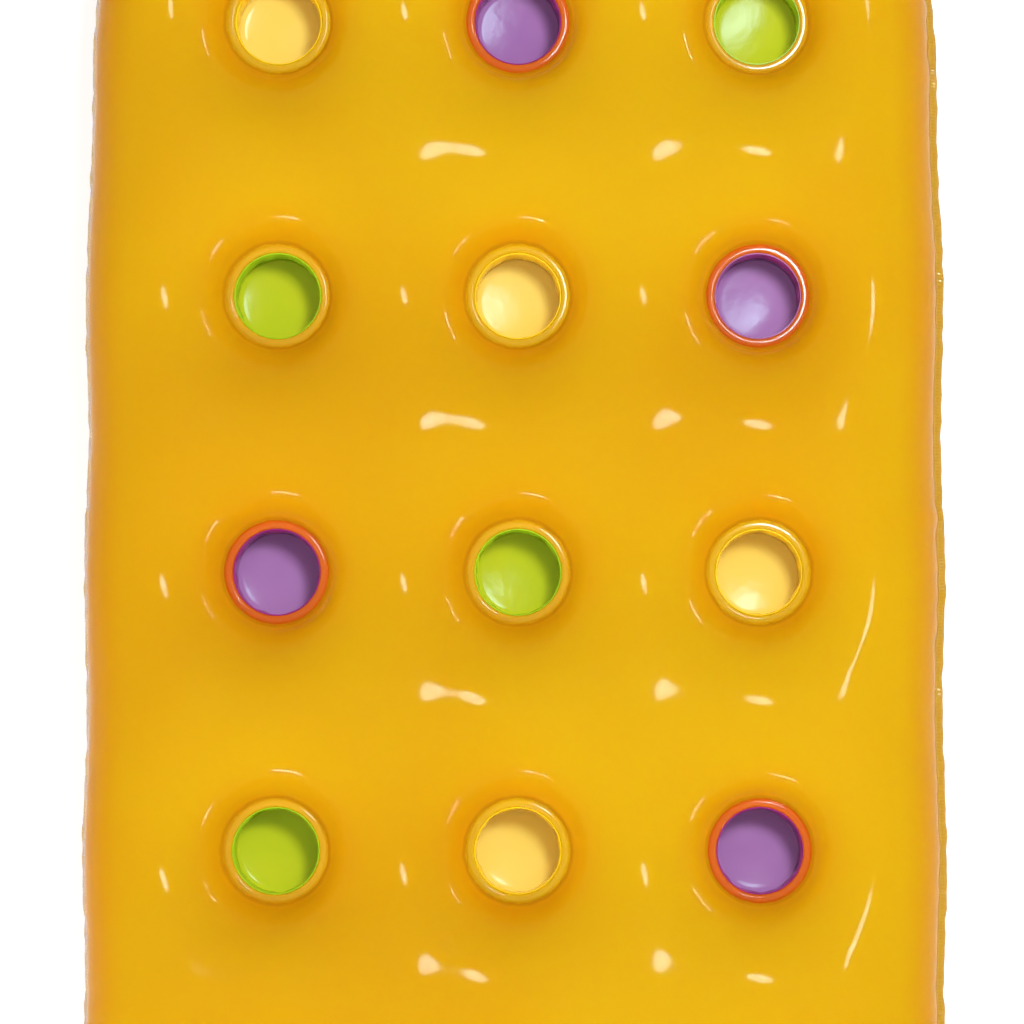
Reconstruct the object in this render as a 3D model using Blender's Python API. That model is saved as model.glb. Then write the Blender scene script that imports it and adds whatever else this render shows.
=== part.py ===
"""Inflatable pool lounger: a mattress chamber with round welded pockets, and a pillow chamber.

Metres, +Z up.  The lounger lies on its underside, its head towards +Y, with the origin under its middle.
Two sheets of film, one above and one below, are welded together all round and across between the chambers.
Each pocket is a coloured sleeve welded between the two films and closed below by a coloured window.
"""
import math

import bmesh
import bpy
import numpy as np
from mathutils import Vector
from mathutils.geometry import delaunay_2d_cdt

# Pocket grid, with one letter for each pocket's colour from left to right, head row first
COLUMNS = 3
ROWS = 6
COLUMN_PITCH = 0.187
ROW_PITCH = 0.2155
POCKET_COLOURS = ("ypg", "gyp", "pgy", "gyp", "ypg", "gyp")

# Plan of the chambers, measured to the weld line
SIDE_MARGIN = 0.145
END_MARGIN = 0.150
PILLOW_LENGTH = 0.350
WEB_WIDTH = 0.022
FLANGE_WIDTH = 0.007
END_TAPER = 0.020
TAPER_LENGTH = 0.330
SCALLOP = 0.0014
MATTRESS_CORNER = 0.085
PILLOW_CORNER = 0.105

# Section of the chambers
CREST = 0.066
REST_DEPTH = 0.058
MATTRESS_ROLL = 0.080
PILLOW_ROLL = 0.150
DIMPLE_REACH = 0.028

# Films, the clearance between welded layers and the slit on the fold line
FILM = 0.0003
INSERT_FILM = 0.0004
GAP = 0.0003
FOLD_GAP = 0.0009

# Pocket inserts
WINDOW_RADIUS = 0.0335
LAND_WIDTH = 0.0080
POCKET_DEPTH = 0.036
INSERT_FLANGE = 0.0070
SLEEVE_INSET = 0.0006

# Valves
VALVE_END_DISTANCE = 0.066
PILLOW_VALVE_X = 0.195
VALVE_PAD = 0.0200
VALVE_PAD_BLEND = 0.0140
BASE_RADIUS = 0.0170
BASE_THICKNESS = 0.0012
BOSS_RADIUS = 0.0117
SOCKET_WALL = 0.0022
SOCKET_DEPTH = 0.0045
STEM_RADIUS = 0.0067
STEM_WALL = 0.0025
STEM_TRAVEL = 0.0120
COLLAR_RADIUS = 0.0080
COLLAR_THICKNESS = 0.0015
BEAD_RADIUS = 0.0082
BEAD_HEIGHT = 0.0017
PLUG_RADIUS = 0.0075
PLUG_THICKNESS = 0.0020
SPIGOT_LENGTH = 0.0080
SPIGOT_CHAMFER = 0.0006
STRAP_WIDTH = 0.0042
STRAP_THICKNESS = 0.0009
STRAP_REACH = 0.0080
FLAP_RADIUS = 0.0062
FLAP_THICKNESS = 0.0005

# Fineness of the meshes
POCKET_SIDES = 12
VALVE_SIDES = 14
CORNER_STEPS = 4
SIDE_STEP = 0.054
END_STEP = 0.090
SEAM_INSETS = (0.005, 0.020, 0.045)
DIMPLE_RINGS = (0.009, 0.027)
GRID_SHARE = 4
POINT_CLEARANCE = 0.016
STRAP_ARC_STEPS = 6
SLOPE_STEP = 0.00002
MERGE_DISTANCE = 0.000001
SMOOTH_ANGLE = math.radians(35)

# Sizes that follow from the ones above
HALF_WIDTH = (COLUMNS - 1) * COLUMN_PITCH / 2 + SIDE_MARGIN
MATTRESS_LENGTH = (ROWS - 1) * ROW_PITCH + 2 * END_MARGIN
OVERALL_LENGTH = MATTRESS_LENGTH + WEB_WIDTH + PILLOW_LENGTH + 2 * FLANGE_WIDTH
MATTRESS_FOOT = FLANGE_WIDTH - OVERALL_LENGTH / 2
MATTRESS_HEAD = MATTRESS_FOOT + MATTRESS_LENGTH
FOLD_Y = MATTRESS_HEAD + WEB_WIDTH / 2
PILLOW_FOOT = MATTRESS_HEAD + WEB_WIDTH
PILLOW_HEAD = PILLOW_FOOT + PILLOW_LENGTH
FIRST_ROW_Y = MATTRESS_HEAD - END_MARGIN
RING_LEVEL = POCKET_DEPTH / 2
LAND_RADIUS = WINDOW_RADIUS + LAND_WIDTH
INSERT_RADIUS = WINDOW_RADIUS + INSERT_FLANGE
WELD_OFFSET = GAP / 2 + FILM
MIDDLE_Z = REST_DEPTH + WELD_OFFSET
VALVE_HOLE = BOSS_RADIUS + GAP
STEM_BORE = STEM_RADIUS - STEM_WALL

FILM_COLOUR = (0.80, 0.37, 0.008)
VALVE_COLOUR = (0.86, 0.87, 0.86)
INSERT_COLOURS = {
    "y": (0.90, 0.74, 0.10),
    "g": (0.42, 0.60, 0.02),
    "p": (0.30, 0.12, 0.42),
}
FILM_ROUGHNESS = 0.12
INSERT_ROUGHNESS = 0.15
VALVE_ROUGHNESS = 0.30


def make_material(name, colour, roughness):
    """A plastic of one colour."""
    material = bpy.data.materials.new(name)
    material.use_nodes = True
    shader = material.node_tree.nodes["Principled BSDF"]
    shader.inputs["Base Color"].default_value = (*colour, 1.0)
    shader.inputs["Roughness"].default_value = roughness
    shader.inputs["Metallic"].default_value = 0.0
    return material


def add_object(name, mesh, material, location):
    """One named object from its mesh, with its origin at location."""
    mesh.materials.append(material)
    mesh.shade_smooth()
    mesh.set_sharp_from_angle(angle=SMOOTH_ANGLE)
    item = bpy.data.objects.new(name, mesh)
    item.location = location
    bpy.context.collection.objects.link(item)
    return item


def smooth_step(value):
    """0 to 1 with level ends."""
    share = np.clip(value, 0.0, 1.0)
    return share * share * (3.0 - 2.0 * share)


def ring(centre, radius, sides):
    """Plan points of a circle, the first on the +X side."""
    angle = 2.0 * math.pi * np.arange(sides) / sides
    return np.column_stack([centre[0] + radius * np.cos(angle), centre[1] + radius * np.sin(angle)])


class Chamber:
    """One air chamber in plan: its weld line, its roll edge, its pockets and its valve."""

    def __init__(self, foot, head, roll, corner, pockets, valve, web_at_head):
        self.foot = foot
        self.head = head
        self.roll = roll
        self.corner = corner
        self.pockets = pockets
        self.valve = valve
        self.web_at_head = web_at_head
        self.pad_height = float(self.open_height(np.array([valve[0]]), np.array([valve[1]]))[0])

    def half_width(self, y):
        """Half the width at the weld line: tapered near both ends and drawn in between pocket rows."""
        from_end = np.minimum(self.head - y, y - self.foot)
        taper = END_TAPER * np.clip(1.0 - from_end / TAPER_LENGTH, 0.0, 1.0) ** 2
        if not self.pockets:
            return HALF_WIDTH - taper
        wave = np.cos(2.0 * math.pi * (y - FIRST_ROW_Y) / ROW_PITCH)
        return HALF_WIDTH - taper + SCALLOP * (wave - 1.0) * smooth_step(from_end / END_MARGIN)

    def seam_distance(self, x, y):
        """Distance inside the weld line, which is a rectangle with round corners."""
        across = np.abs(x) - (self.half_width(y) - self.corner)
        along = np.maximum(self.foot + self.corner - y, y - self.head + self.corner)
        outside = np.hypot(np.maximum(across, 0.0), np.maximum(along, 0.0))
        return self.corner - outside - np.minimum(np.maximum(across, along), 0.0)

    def open_height(self, x, y):
        """Height over the middle plane, before the valve's pad and the ground flatten it.

        Its square is a circular roll at the weld line times a rise that starts at each pocket's land.
        """
        share = np.clip(self.seam_distance(x, y) / self.roll, 0.0, 1.0)
        edge = 1.0 - (1.0 - share) ** 2
        if not self.pockets:
            return CREST * np.sqrt(edge)
        rise = np.ones_like(x)
        for pocket_x, pocket_y in self.pockets:
            reach = np.hypot(x - pocket_x, y - pocket_y) - LAND_RADIUS
            rise = rise * (1.0 - np.exp(-np.maximum(reach, 0.0) / DIMPLE_REACH))
        lowest = RING_LEVEL ** 2
        return np.sqrt(edge * (lowest + (CREST ** 2 - lowest) * rise))

    def height(self, x, y, upper):
        """Height of the upper film over the middle plane, or depth of the lower film under it."""
        raised = self.open_height(x, y)
        if not upper:
            return np.minimum(raised, REST_DEPTH)
        from_valve = np.hypot(x - self.valve[0], y - self.valve[1])
        blend = smooth_step((from_valve - VALVE_PAD) / VALVE_PAD_BLEND)
        return self.pad_height + (raised - self.pad_height) * blend

    def side_positions(self):
        """Places along Y of the points on a straight side."""
        length = self.head - self.foot - 2.0 * self.corner
        return np.linspace(self.foot + self.corner, self.head - self.corner, round(length / SIDE_STEP) + 1)

    def loop_from_right_side(self, right):
        """Closed loop from its right side, which runs from foot to head: the left side mirrors it."""
        width = np.linspace(1.0, -1.0, round(2.0 * right[-1, 0] / END_STEP) + 1)[1:-1]
        top = np.column_stack([right[-1, 0] * width, np.full(len(width), right[-1, 1])])
        bottom = np.column_stack([-right[0, 0] * width, np.full(len(width), right[0, 1])])
        left = right[::-1] * np.array([-1.0, 1.0])
        return np.vstack([right, top, left, bottom])

    def corner_points(self, inset, at_head):
        """Points of a round right corner, in order from foot to head."""
        radius = self.corner - inset
        turn = np.linspace(0.0, math.pi / 2, CORNER_STEPS + 1)[1:]
        if at_head:
            y = self.head - self.corner + radius * np.sin(turn)
        else:
            y = self.foot + self.corner - radius * np.sin(turn)
        x = self.half_width(y) - self.corner + radius * np.cos(turn)
        points = np.column_stack([x, y])
        return points if at_head else points[::-1]

    def seam_loop(self, inset):
        """Closed loop of plan points that lies inset inside the weld line."""
        side = self.side_positions()
        straight = np.column_stack([self.half_width(side) - inset, side])
        right = np.vstack([self.corner_points(inset, False), straight, self.corner_points(inset, True)])
        return self.loop_from_right_side(right)

    def sheet_loop(self):
        """Cut edge of the film: the weld flange outside the weld line, square at the fold."""
        side = self.side_positions()
        straight = np.column_stack([self.half_width(side) + FLANGE_WIDTH, side])
        if self.web_at_head:
            web = np.array([[self.half_width(self.head) + FLANGE_WIDTH, FOLD_Y - FOLD_GAP / 2]])
            right = np.vstack([self.corner_points(-FLANGE_WIDTH, False), straight, web])
        else:
            web = np.array([[self.half_width(self.foot) + FLANGE_WIDTH, FOLD_Y + FOLD_GAP / 2]])
            right = np.vstack([web, straight, self.corner_points(-FLANGE_WIDTH, True)])
        return self.loop_from_right_side(right)

    def grid_points(self):
        """Points between the pockets, on a grid that has the cell corners on it."""
        step_x = COLUMN_PITCH / GRID_SHARE
        step_y = ROW_PITCH / GRID_SHARE
        across = step_x * np.arange(-math.ceil(HALF_WIDTH / step_x), math.ceil(HALF_WIDTH / step_x) + 1)
        first = math.floor((self.foot - FIRST_ROW_Y) / step_y)
        last = math.ceil((self.head - FIRST_ROW_Y) / step_y)
        along = FIRST_ROW_Y + step_y * np.arange(first, last + 1)
        grid_x, grid_y = np.meshgrid(across, along)
        points = np.column_stack([grid_x.ravel(), grid_y.ravel()])
        keep = self.seam_distance(points[:, 0], points[:, 1]) > SEAM_INSETS[-1] + POINT_CLEARANCE
        for pocket in self.pockets:
            reach = np.hypot(points[:, 0] - pocket[0], points[:, 1] - pocket[1])
            keep &= reach > LAND_RADIUS + DIMPLE_RINGS[-1] + POINT_CLEARANCE
        return points[keep]

    def curved_points(self, upper):
        """Plan points on the curved film, clear of the valve's pad on the upper film."""
        groups = [self.seam_loop(inset) for inset in SEAM_INSETS]
        for pocket in self.pockets:
            groups += [ring(pocket, LAND_RADIUS + reach, POCKET_SIDES) for reach in DIMPLE_RINGS]
        groups.append(self.grid_points())
        points = np.vstack(groups)
        if not upper:
            return points
        outer = VALVE_PAD + VALVE_PAD_BLEND
        from_valve = np.hypot(points[:, 0] - self.valve[0], points[:, 1] - self.valve[1])
        shoulder = ring(self.valve, outer, VALVE_SIDES)
        return np.vstack([points[from_valve > outer + POINT_CLEARANCE / 2], shoulder])

    def flat_loops(self, upper):
        """Loops on flat welded film: plan points of the outer and inner faces, and their height."""
        sheet = self.sheet_loop()
        loops = [(sheet, sheet, 0.0), (self.seam_loop(0.0), self.seam_loop(FILM), 0.0)]
        for pocket in self.pockets:
            hole = ring(pocket, WINDOW_RADIUS, POCKET_SIDES)
            land = ring(pocket, LAND_RADIUS, POCKET_SIDES)
            land_inside = ring(pocket, LAND_RADIUS + FILM, POCKET_SIDES)
            loops += [(hole, hole, RING_LEVEL), (land, land_inside, RING_LEVEL)]
        if upper:
            hole = ring(self.valve, VALVE_HOLE, VALVE_SIDES)
            pad = ring(self.valve, VALVE_PAD, VALVE_SIDES)
            loops += [(hole, hole, self.pad_height), (pad, pad, self.pad_height)]
        return loops

    def holes(self, upper):
        """Centre, radius and number of sides of each hole in the film."""
        cut = [(pocket, WINDOW_RADIUS, POCKET_SIDES) for pocket in self.pockets]
        if upper:
            cut.append((self.valve, VALVE_HOLE, VALVE_SIDES))
        return cut


def inside_loop(points, loop):
    """Which points lie inside a closed loop, by counting the edges that a ray towards +X crosses."""
    inside = np.zeros(len(points), dtype=bool)
    following = np.roll(loop, -1, axis=0)
    for (start_x, start_y), (end_x, end_y) in zip(loop, following):
        if start_y == end_y:
            continue
        crosses = (start_y > points[:, 1]) != (end_y > points[:, 1])
        meets = start_x + (points[:, 1] - start_y) * (end_x - start_x) / (end_y - start_y)
        inside ^= crosses & (points[:, 0] < meets)
    return inside


def plan_triangles(points, loops, outline, holes):
    """Triangles that join the plan points inside the outline and outside the holes."""
    edges = []
    start = 0
    for loop in loops:
        count = len(loop)
        edges += [(start + index, start + (index + 1) % count) for index in range(count)]
        start += count
    result = delaunay_2d_cdt([Vector(point) for point in points], edges, [], 0, MERGE_DISTANCE)
    source = [origins[0] for origins in result[3]]
    triangles = np.array([[source[corner] for corner in face] for face in result[2]])
    centres = points[triangles].mean(axis=1)
    keep = inside_loop(centres, outline)
    for centre, radius, sides in holes:
        reach = np.hypot(centres[:, 0] - centre[0], centres[:, 1] - centre[1])
        keep &= reach > radius * math.cos(math.pi / sides)
    return triangles[keep]


def inner_curved_face(chamber, points, heights, upper):
    """Inner face under curved film, one film thickness away along the surface's normal."""
    x, y = points[:, 0], points[:, 1]
    slope_x = (chamber.height(x + SLOPE_STEP, y, upper) - chamber.height(x - SLOPE_STEP, y, upper))
    slope_y = (chamber.height(x, y + SLOPE_STEP, upper) - chamber.height(x, y - SLOPE_STEP, upper))
    rise = np.full(len(points), 2.0 * SLOPE_STEP)
    normal = np.column_stack([-slope_x, -slope_y, rise])
    normal /= np.linalg.norm(normal, axis=1)[:, None]
    return np.column_stack([points, heights]) - FILM * normal


def build_film(name, chamber, upper, material):
    """One sheet of film of a chamber, as a closed skin of its real thickness."""
    flats = chamber.flat_loops(upper)
    curved = chamber.curved_points(upper)
    plan = np.vstack([outer for outer, _, _ in flats] + [curved])
    triangles = plan_triangles(plan, [outer for outer, _, _ in flats], flats[0][0], chamber.holes(upper))
    outside = [np.column_stack([outer, np.full(len(outer), level)]) for outer, _, level in flats]
    inside = [np.column_stack([inner, np.full(len(inner), level - FILM)]) for _, inner, level in flats]
    heights = chamber.height(curved[:, 0], curved[:, 1], upper)
    outside.append(np.column_stack([curved, heights]))
    inside.append(inner_curved_face(chamber, curved, heights, upper))
    vertices = np.vstack(outside + inside)
    side = 1.0 if upper else -1.0
    vertices[:, 2] = MIDDLE_Z + side * (vertices[:, 2] + WELD_OFFSET)
    return add_object(name, skin_mesh(name, vertices, triangles, upper), material, (0.0, 0.0, 0.0))


def skin_mesh(name, vertices, triangles, upper):
    """Closed mesh from the outer face's triangles: the inner face repeats them, turned over."""
    half = len(vertices) // 2
    faces = [tuple(corners) for corners in triangles.tolist()]
    directed = {(face[i], face[(i + 1) % 3]) for face in faces for i in range(3)}
    border = [(start, end) for start, end in directed if (end, start) not in directed]
    closed = list(faces)
    closed += [(a + half, c + half, b + half) for a, b, c in faces]
    closed += [(end, start, start + half, end + half) for start, end in sorted(border)]
    if not upper:
        closed = [face[::-1] for face in closed]
    mesh = bpy.data.meshes.new(name)
    mesh.from_pydata(vertices.tolist(), [], closed)
    return mesh


def build_turned(name, profile, sides, location, material):
    """Solid of revolution about a vertical axis through location, from (radius, height) points.

    A profile that starts and ends on the axis is left open there, and any other is a closed ring.
    """
    mesh = bpy.data.meshes.new(name)
    shape = bmesh.new()
    points = [shape.verts.new((radius, 0.0, height)) for radius, height in profile]
    chain = [shape.edges.new(pair) for pair in zip(points, points[1:])]
    if profile[0][0] > 0.0:
        chain.append(shape.edges.new((points[-1], points[0])))
    bmesh.ops.spin(shape, geom=points + chain, cent=(0, 0, 0), axis=(0, 0, 1), dvec=(0, 0, 0),
                   angle=2.0 * math.pi, steps=sides, use_merge=True, use_duplicate=False)
    bmesh.ops.remove_doubles(shape, verts=shape.verts, dist=MERGE_DISTANCE)
    bmesh.ops.recalc_face_normals(shape, faces=shape.faces)
    shape.to_mesh(mesh)
    shape.free()
    return add_object(name, mesh, material, location)


def sleeve_profile():
    """Section of a pocket's sleeve: its wall with a weld flange at both ends, about the middle plane."""
    inner = WINDOW_RADIUS - SLEEVE_INSET
    upper = RING_LEVEL + WELD_OFFSET - FILM - GAP
    lower = INSERT_FILM + GAP - upper
    return [
        (inner, upper),
        (INSERT_RADIUS, upper),
        (INSERT_RADIUS, upper - INSERT_FILM),
        (inner + INSERT_FILM, upper - INSERT_FILM),
        (inner + INSERT_FILM, lower + INSERT_FILM),
        (INSERT_RADIUS, lower + INSERT_FILM),
        (INSERT_RADIUS, lower),
        (inner, lower),
    ]


def window_profile():
    """Section of a pocket's window: a flat disc between the sleeve's lower flange and the lower film."""
    lower = FILM + GAP - RING_LEVEL - WELD_OFFSET
    return [(0.0, lower + INSERT_FILM), (INSERT_RADIUS, lower + INSERT_FILM), (INSERT_RADIUS, lower), (0.0, lower)]


def build_pocket(row, column, centre, materials):
    """Sleeve and window of one pocket."""
    material = materials[POCKET_COLOURS[row % len(POCKET_COLOURS)][column % len(POCKET_COLOURS[0])]]
    location = (centre[0], centre[1], MIDDLE_Z)
    label = f"r{row + 1}_c{column + 1}"
    build_turned(f"pocket_sleeve_{label}", sleeve_profile(), POCKET_SIDES, location, material)
    build_turned(f"pocket_window_{label}", window_profile(), POCKET_SIDES, location, material)


def base_profile():
    """Valve base, from the film's outer face: a boss in the film's hole, a weld flange and a socket."""
    bore = STEM_RADIUS + GAP
    flange = -FILM - GAP
    under = flange - BASE_THICKNESS
    return [
        (bore, 0.0),
        (BOSS_RADIUS, 0.0),
        (BOSS_RADIUS, flange),
        (BASE_RADIUS, flange),
        (BASE_RADIUS, under),
        (bore + SOCKET_WALL, under),
        (bore + SOCKET_WALL, -SOCKET_DEPTH),
        (bore, -SOCKET_DEPTH),
    ]


def stem_profile():
    """Valve stem pushed in: its collar rests on the base, and its bead stops it when it is pulled out."""
    bead_top = -SOCKET_DEPTH - GAP - STEM_TRAVEL
    return [
        (STEM_BORE, GAP + COLLAR_THICKNESS),
        (COLLAR_RADIUS, GAP + COLLAR_THICKNESS),
        (COLLAR_RADIUS, GAP),
        (STEM_RADIUS, GAP),
        (STEM_RADIUS, bead_top),
        (BEAD_RADIUS, bead_top),
        (BEAD_RADIUS, bead_top - BEAD_HEIGHT),
        (STEM_BORE, bead_top - BEAD_HEIGHT),
    ]


def plug_profile():
    """Stopper: a cap that lies on the stem's collar, and a spigot in its bore."""
    seat = 2.0 * GAP + COLLAR_THICKNESS
    spigot = STEM_BORE - GAP
    return [
        (0.0, seat + PLUG_THICKNESS),
        (PLUG_RADIUS, seat + PLUG_THICKNESS),
        (PLUG_RADIUS, seat),
        (spigot, seat),
        (spigot, seat - SPIGOT_LENGTH + SPIGOT_CHAMFER),
        (spigot - SPIGOT_CHAMFER, seat - SPIGOT_LENGTH),
        (0.0, seat - SPIGOT_LENGTH),
    ]


def build_flap(name, location, material):
    """Check flap under the stem's bead, a disc that hangs on a hinge at its -X edge."""
    bead_bottom = -SOCKET_DEPTH - GAP - STEM_TRAVEL - BEAD_HEIGHT
    profile = [(0.0, 0.0), (FLAP_RADIUS, 0.0), (FLAP_RADIUS, -FLAP_THICKNESS), (0.0, -FLAP_THICKNESS)]
    flap = build_turned(name, profile, VALVE_SIDES, location, material)
    for vertex in flap.data.vertices:
        vertex.co.x += FLAP_RADIUS
    flap.location = Vector(location) + Vector((-FLAP_RADIUS, 0.0, bead_bottom - GAP))
    return flap


def build_strap(name, location, material):
    """Strap that ties the stopper to the stem's collar: a loop in the XZ plane, extruded along Y."""
    half = STRAP_THICKNESS / 2
    lower = GAP + COLLAR_THICKNESS / 2
    upper = 2.0 * GAP + COLLAR_THICKNESS + PLUG_THICKNESS / 2
    bend_x = COLLAR_RADIUS + GAP + STRAP_REACH
    bend_z = (lower + upper) / 2
    bend = (upper - lower) / 2
    turn = np.linspace(-math.pi / 2, math.pi / 2, STRAP_ARC_STEPS + 1)
    outer = [(bend_x + (bend + half) * math.cos(a), bend_z + (bend + half) * math.sin(a)) for a in turn]
    inner = [(bend_x + (bend - half) * math.cos(a), bend_z + (bend - half) * math.sin(a)) for a in turn]
    outline = [(COLLAR_RADIUS + GAP, lower - half)] + outer + [(PLUG_RADIUS + GAP, upper + half)]
    outline += [(PLUG_RADIUS + GAP, upper - half)] + inner[::-1] + [(COLLAR_RADIUS + GAP, lower + half)]
    mesh = bpy.data.meshes.new(name)
    shape = bmesh.new()
    face = shape.faces.new([shape.verts.new((x, -STRAP_WIDTH / 2, z)) for x, z in outline])
    swept = bmesh.ops.extrude_face_region(shape, geom=[face])
    moved = [item for item in swept["geom"] if isinstance(item, bmesh.types.BMVert)]
    bmesh.ops.translate(shape, verts=moved, vec=(0.0, STRAP_WIDTH, 0.0))
    bmesh.ops.recalc_face_normals(shape, faces=shape.faces)
    shape.to_mesh(mesh)
    shape.free()
    return add_object(name, mesh, material, location)


def build_valve(prefix, chamber, material):
    """Push-in valve with its base, stem, stopper, strap and check flap."""
    location = (chamber.valve[0], chamber.valve[1], MIDDLE_Z + WELD_OFFSET + chamber.pad_height)
    build_turned(f"{prefix}_valve_base", base_profile(), VALVE_SIDES, location, material)
    build_turned(f"{prefix}_valve_stem", stem_profile(), VALVE_SIDES, location, material)
    build_turned(f"{prefix}_valve_plug", plug_profile(), VALVE_SIDES, location, material)
    build_strap(f"{prefix}_valve_strap", location, material)
    build_flap(f"{prefix}_valve_flap", location, material)


def pocket_centres():
    """Plan centre of each pocket, with its row and column, the head row first and -X first in it."""
    centres = []
    for row in range(ROWS):
        for column in range(COLUMNS):
            x = (column - (COLUMNS - 1) / 2) * COLUMN_PITCH
            centres.append((row, column, (x, FIRST_ROW_Y - row * ROW_PITCH)))
    return centres


def main():
    """Build the whole lounger."""
    for item in list(bpy.data.objects):
        bpy.data.objects.remove(item, do_unlink=True)
    film = make_material("orange_film", FILM_COLOUR, FILM_ROUGHNESS)
    valve = make_material("clear_valve", VALVE_COLOUR, VALVE_ROUGHNESS)
    inserts = {key: make_material(f"insert_{key}", colour, INSERT_ROUGHNESS)
               for key, colour in INSERT_COLOURS.items()}
    pockets = pocket_centres()
    mattress_valve = (-COLUMN_PITCH / 2, MATTRESS_FOOT + VALVE_END_DISTANCE)
    mattress = Chamber(MATTRESS_FOOT, MATTRESS_HEAD, MATTRESS_ROLL, MATTRESS_CORNER,
                       [centre for _, _, centre in pockets], mattress_valve, True)
    pillow_valve = (PILLOW_VALVE_X, (PILLOW_FOOT + PILLOW_HEAD) / 2)
    pillow = Chamber(PILLOW_FOOT, PILLOW_HEAD, PILLOW_ROLL, PILLOW_CORNER, [], pillow_valve, False)
    for prefix, chamber in (("mattress", mattress), ("pillow", pillow)):
        build_film(f"{prefix}_upper_film", chamber, True, film)
        build_film(f"{prefix}_lower_film", chamber, False, film)
        build_valve(prefix, chamber, valve)
    for row, column, centre in pockets:
        build_pocket(row, column, centre, inserts)


main()
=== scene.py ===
"""Looks of an inflatable pool lounger: glossy orange vinyl with coloured pockets.

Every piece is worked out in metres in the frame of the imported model, +Z up, with the head towards +Y.
The films, inserts and valves are surfaces on grids of two parameters, and each rides on its own body.
"""

import logging
import math
from dataclasses import dataclass, field
from enum import Enum

import bmesh
import bpy
import numpy as np
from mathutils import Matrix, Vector


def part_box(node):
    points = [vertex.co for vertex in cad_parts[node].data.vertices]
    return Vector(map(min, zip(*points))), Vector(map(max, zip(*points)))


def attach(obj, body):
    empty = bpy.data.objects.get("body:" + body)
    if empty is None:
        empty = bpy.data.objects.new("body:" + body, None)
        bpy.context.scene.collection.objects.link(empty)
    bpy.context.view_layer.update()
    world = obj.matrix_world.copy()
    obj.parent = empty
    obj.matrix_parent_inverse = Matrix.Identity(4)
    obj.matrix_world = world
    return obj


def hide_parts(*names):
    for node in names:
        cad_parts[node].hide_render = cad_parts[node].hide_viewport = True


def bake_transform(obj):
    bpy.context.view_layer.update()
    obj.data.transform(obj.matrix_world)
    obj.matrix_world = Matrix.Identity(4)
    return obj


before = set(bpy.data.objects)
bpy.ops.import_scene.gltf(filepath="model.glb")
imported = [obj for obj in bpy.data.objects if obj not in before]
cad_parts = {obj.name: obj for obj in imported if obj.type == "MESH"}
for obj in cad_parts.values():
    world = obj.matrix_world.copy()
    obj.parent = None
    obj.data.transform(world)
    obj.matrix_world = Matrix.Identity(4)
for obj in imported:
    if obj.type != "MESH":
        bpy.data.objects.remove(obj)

log = logging.getLogger("lounger")

Colour = tuple[float, float, float]
Point = tuple[float, float, float]
Pair = tuple[float, float]
Profile = tuple[Pair, ...]

# Most of a noise's values lie in this band. Vertices closer than a splinter, in metres, are one.
NOISE_BAND: Pair = (0.3, 0.7)
SPLINTER = 1e-6


class Shade(Enum):
    """The colours of the pocket inserts, by their letter in the colour plan."""

    YELLOW = "y"
    GREEN = "g"
    PURPLE = "p"


class Side(Enum):
    """Which film of a chamber: the upper one faces up, the lower one faces down."""

    UPPER = 1.0
    LOWER = -1.0


@dataclass(frozen=True)
class LoungerSizes:
    """The lounger's sizes in metres, as its solids have them."""

    column_pitch: float = 0.187
    row_pitch: float = 0.2155
    first_row_y: float = 0.35275
    half_width: float = 0.332
    end_taper: float = 0.020
    taper_length: float = 0.330
    end_margin: float = 0.150
    crest: float = 0.066
    rest_depth: float = 0.058
    ring_level: float = 0.018
    dimple_reach: float = 0.028
    weld_offset: float = 0.00045
    film: float = 0.0003
    insert_film: float = 0.0004
    flange: float = 0.007
    middle_z: float = 0.05845
    window_radius: float = 0.0335
    land_radius: float = 0.0415
    insert_radius: float = 0.0405
    sleeve_radius: float = 0.0329
    sleeve_top: float = 0.01785
    sleeve_foot: float = -0.01715
    window_top: float = -0.01745
    valve_pad: float = 0.020
    valve_pad_blend: float = 0.014
    valve_hole: float = 0.0120
    colour_plan: tuple[str, ...] = ("ypg", "gyp", "pgy", "gyp", "ypg", "gyp")

    def pockets(self) -> list[tuple[int, int, float, float, Shade]]:
        """The row, column, centre x, centre y and colour of each pocket, head row and -X first."""
        middle = (len(self.colour_plan[0]) + 1) / 2
        return [(row, column, (column - middle) * self.column_pitch,
                 self.first_row_y - (row - 1) * self.row_pitch, Shade(letter))
                for row, letters in enumerate(self.colour_plan, 1)
                for column, letter in enumerate(letters, 1)]


SIZES = LoungerSizes()


def smooth_step(share: np.ndarray) -> np.ndarray:
    """Rises from 0 to 1 with flat ends: 3 s squared less 2 s cubed, with s held between 0 and 1.

    Args:
        share: Any array.

    Returns:
        The eased values.
    """
    held = np.clip(share, 0.0, 1.0)
    return held * held * (3.0 - 2.0 * held)


@dataclass(frozen=True)
class Ripple:
    """A closed wavy line: the length of each of its waves in metres, and the seed of their phases."""

    lengths: tuple[float, ...]
    seed: int

    def along(self, run: np.ndarray, length: float) -> np.ndarray:
        """Height of the line between about -1 and 1: a sum of sines with whole numbers of waves along it.

        Args:
            run: Place along the line, in metres.
            length: The line's whole length.

        Returns:
            The height of the line at each place.
        """
        phases = np.random.default_rng(self.seed).uniform(0.0, 2.0 * math.pi, len(self.lengths))
        waves = [np.sin(2.0 * math.pi * round(length / wave) * run / length + phase)
                 for wave, phase in zip(self.lengths, phases)]
        return sum(waves) / math.sqrt(len(self.lengths))


def strip_faces(outer: np.ndarray, inner: np.ndarray) -> np.ndarray:
    """The faces between two closed loops of vertices that run anticlockwise, seen from their outward side.

    Args:
        outer: Indices along the outer loop.
        inner: As many indices along the inner loop.

    Returns:
        One row of four indices for each face.
    """
    return np.stack([outer, np.roll(outer, -1), np.roll(inner, -1), inner], axis=-1)


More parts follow.
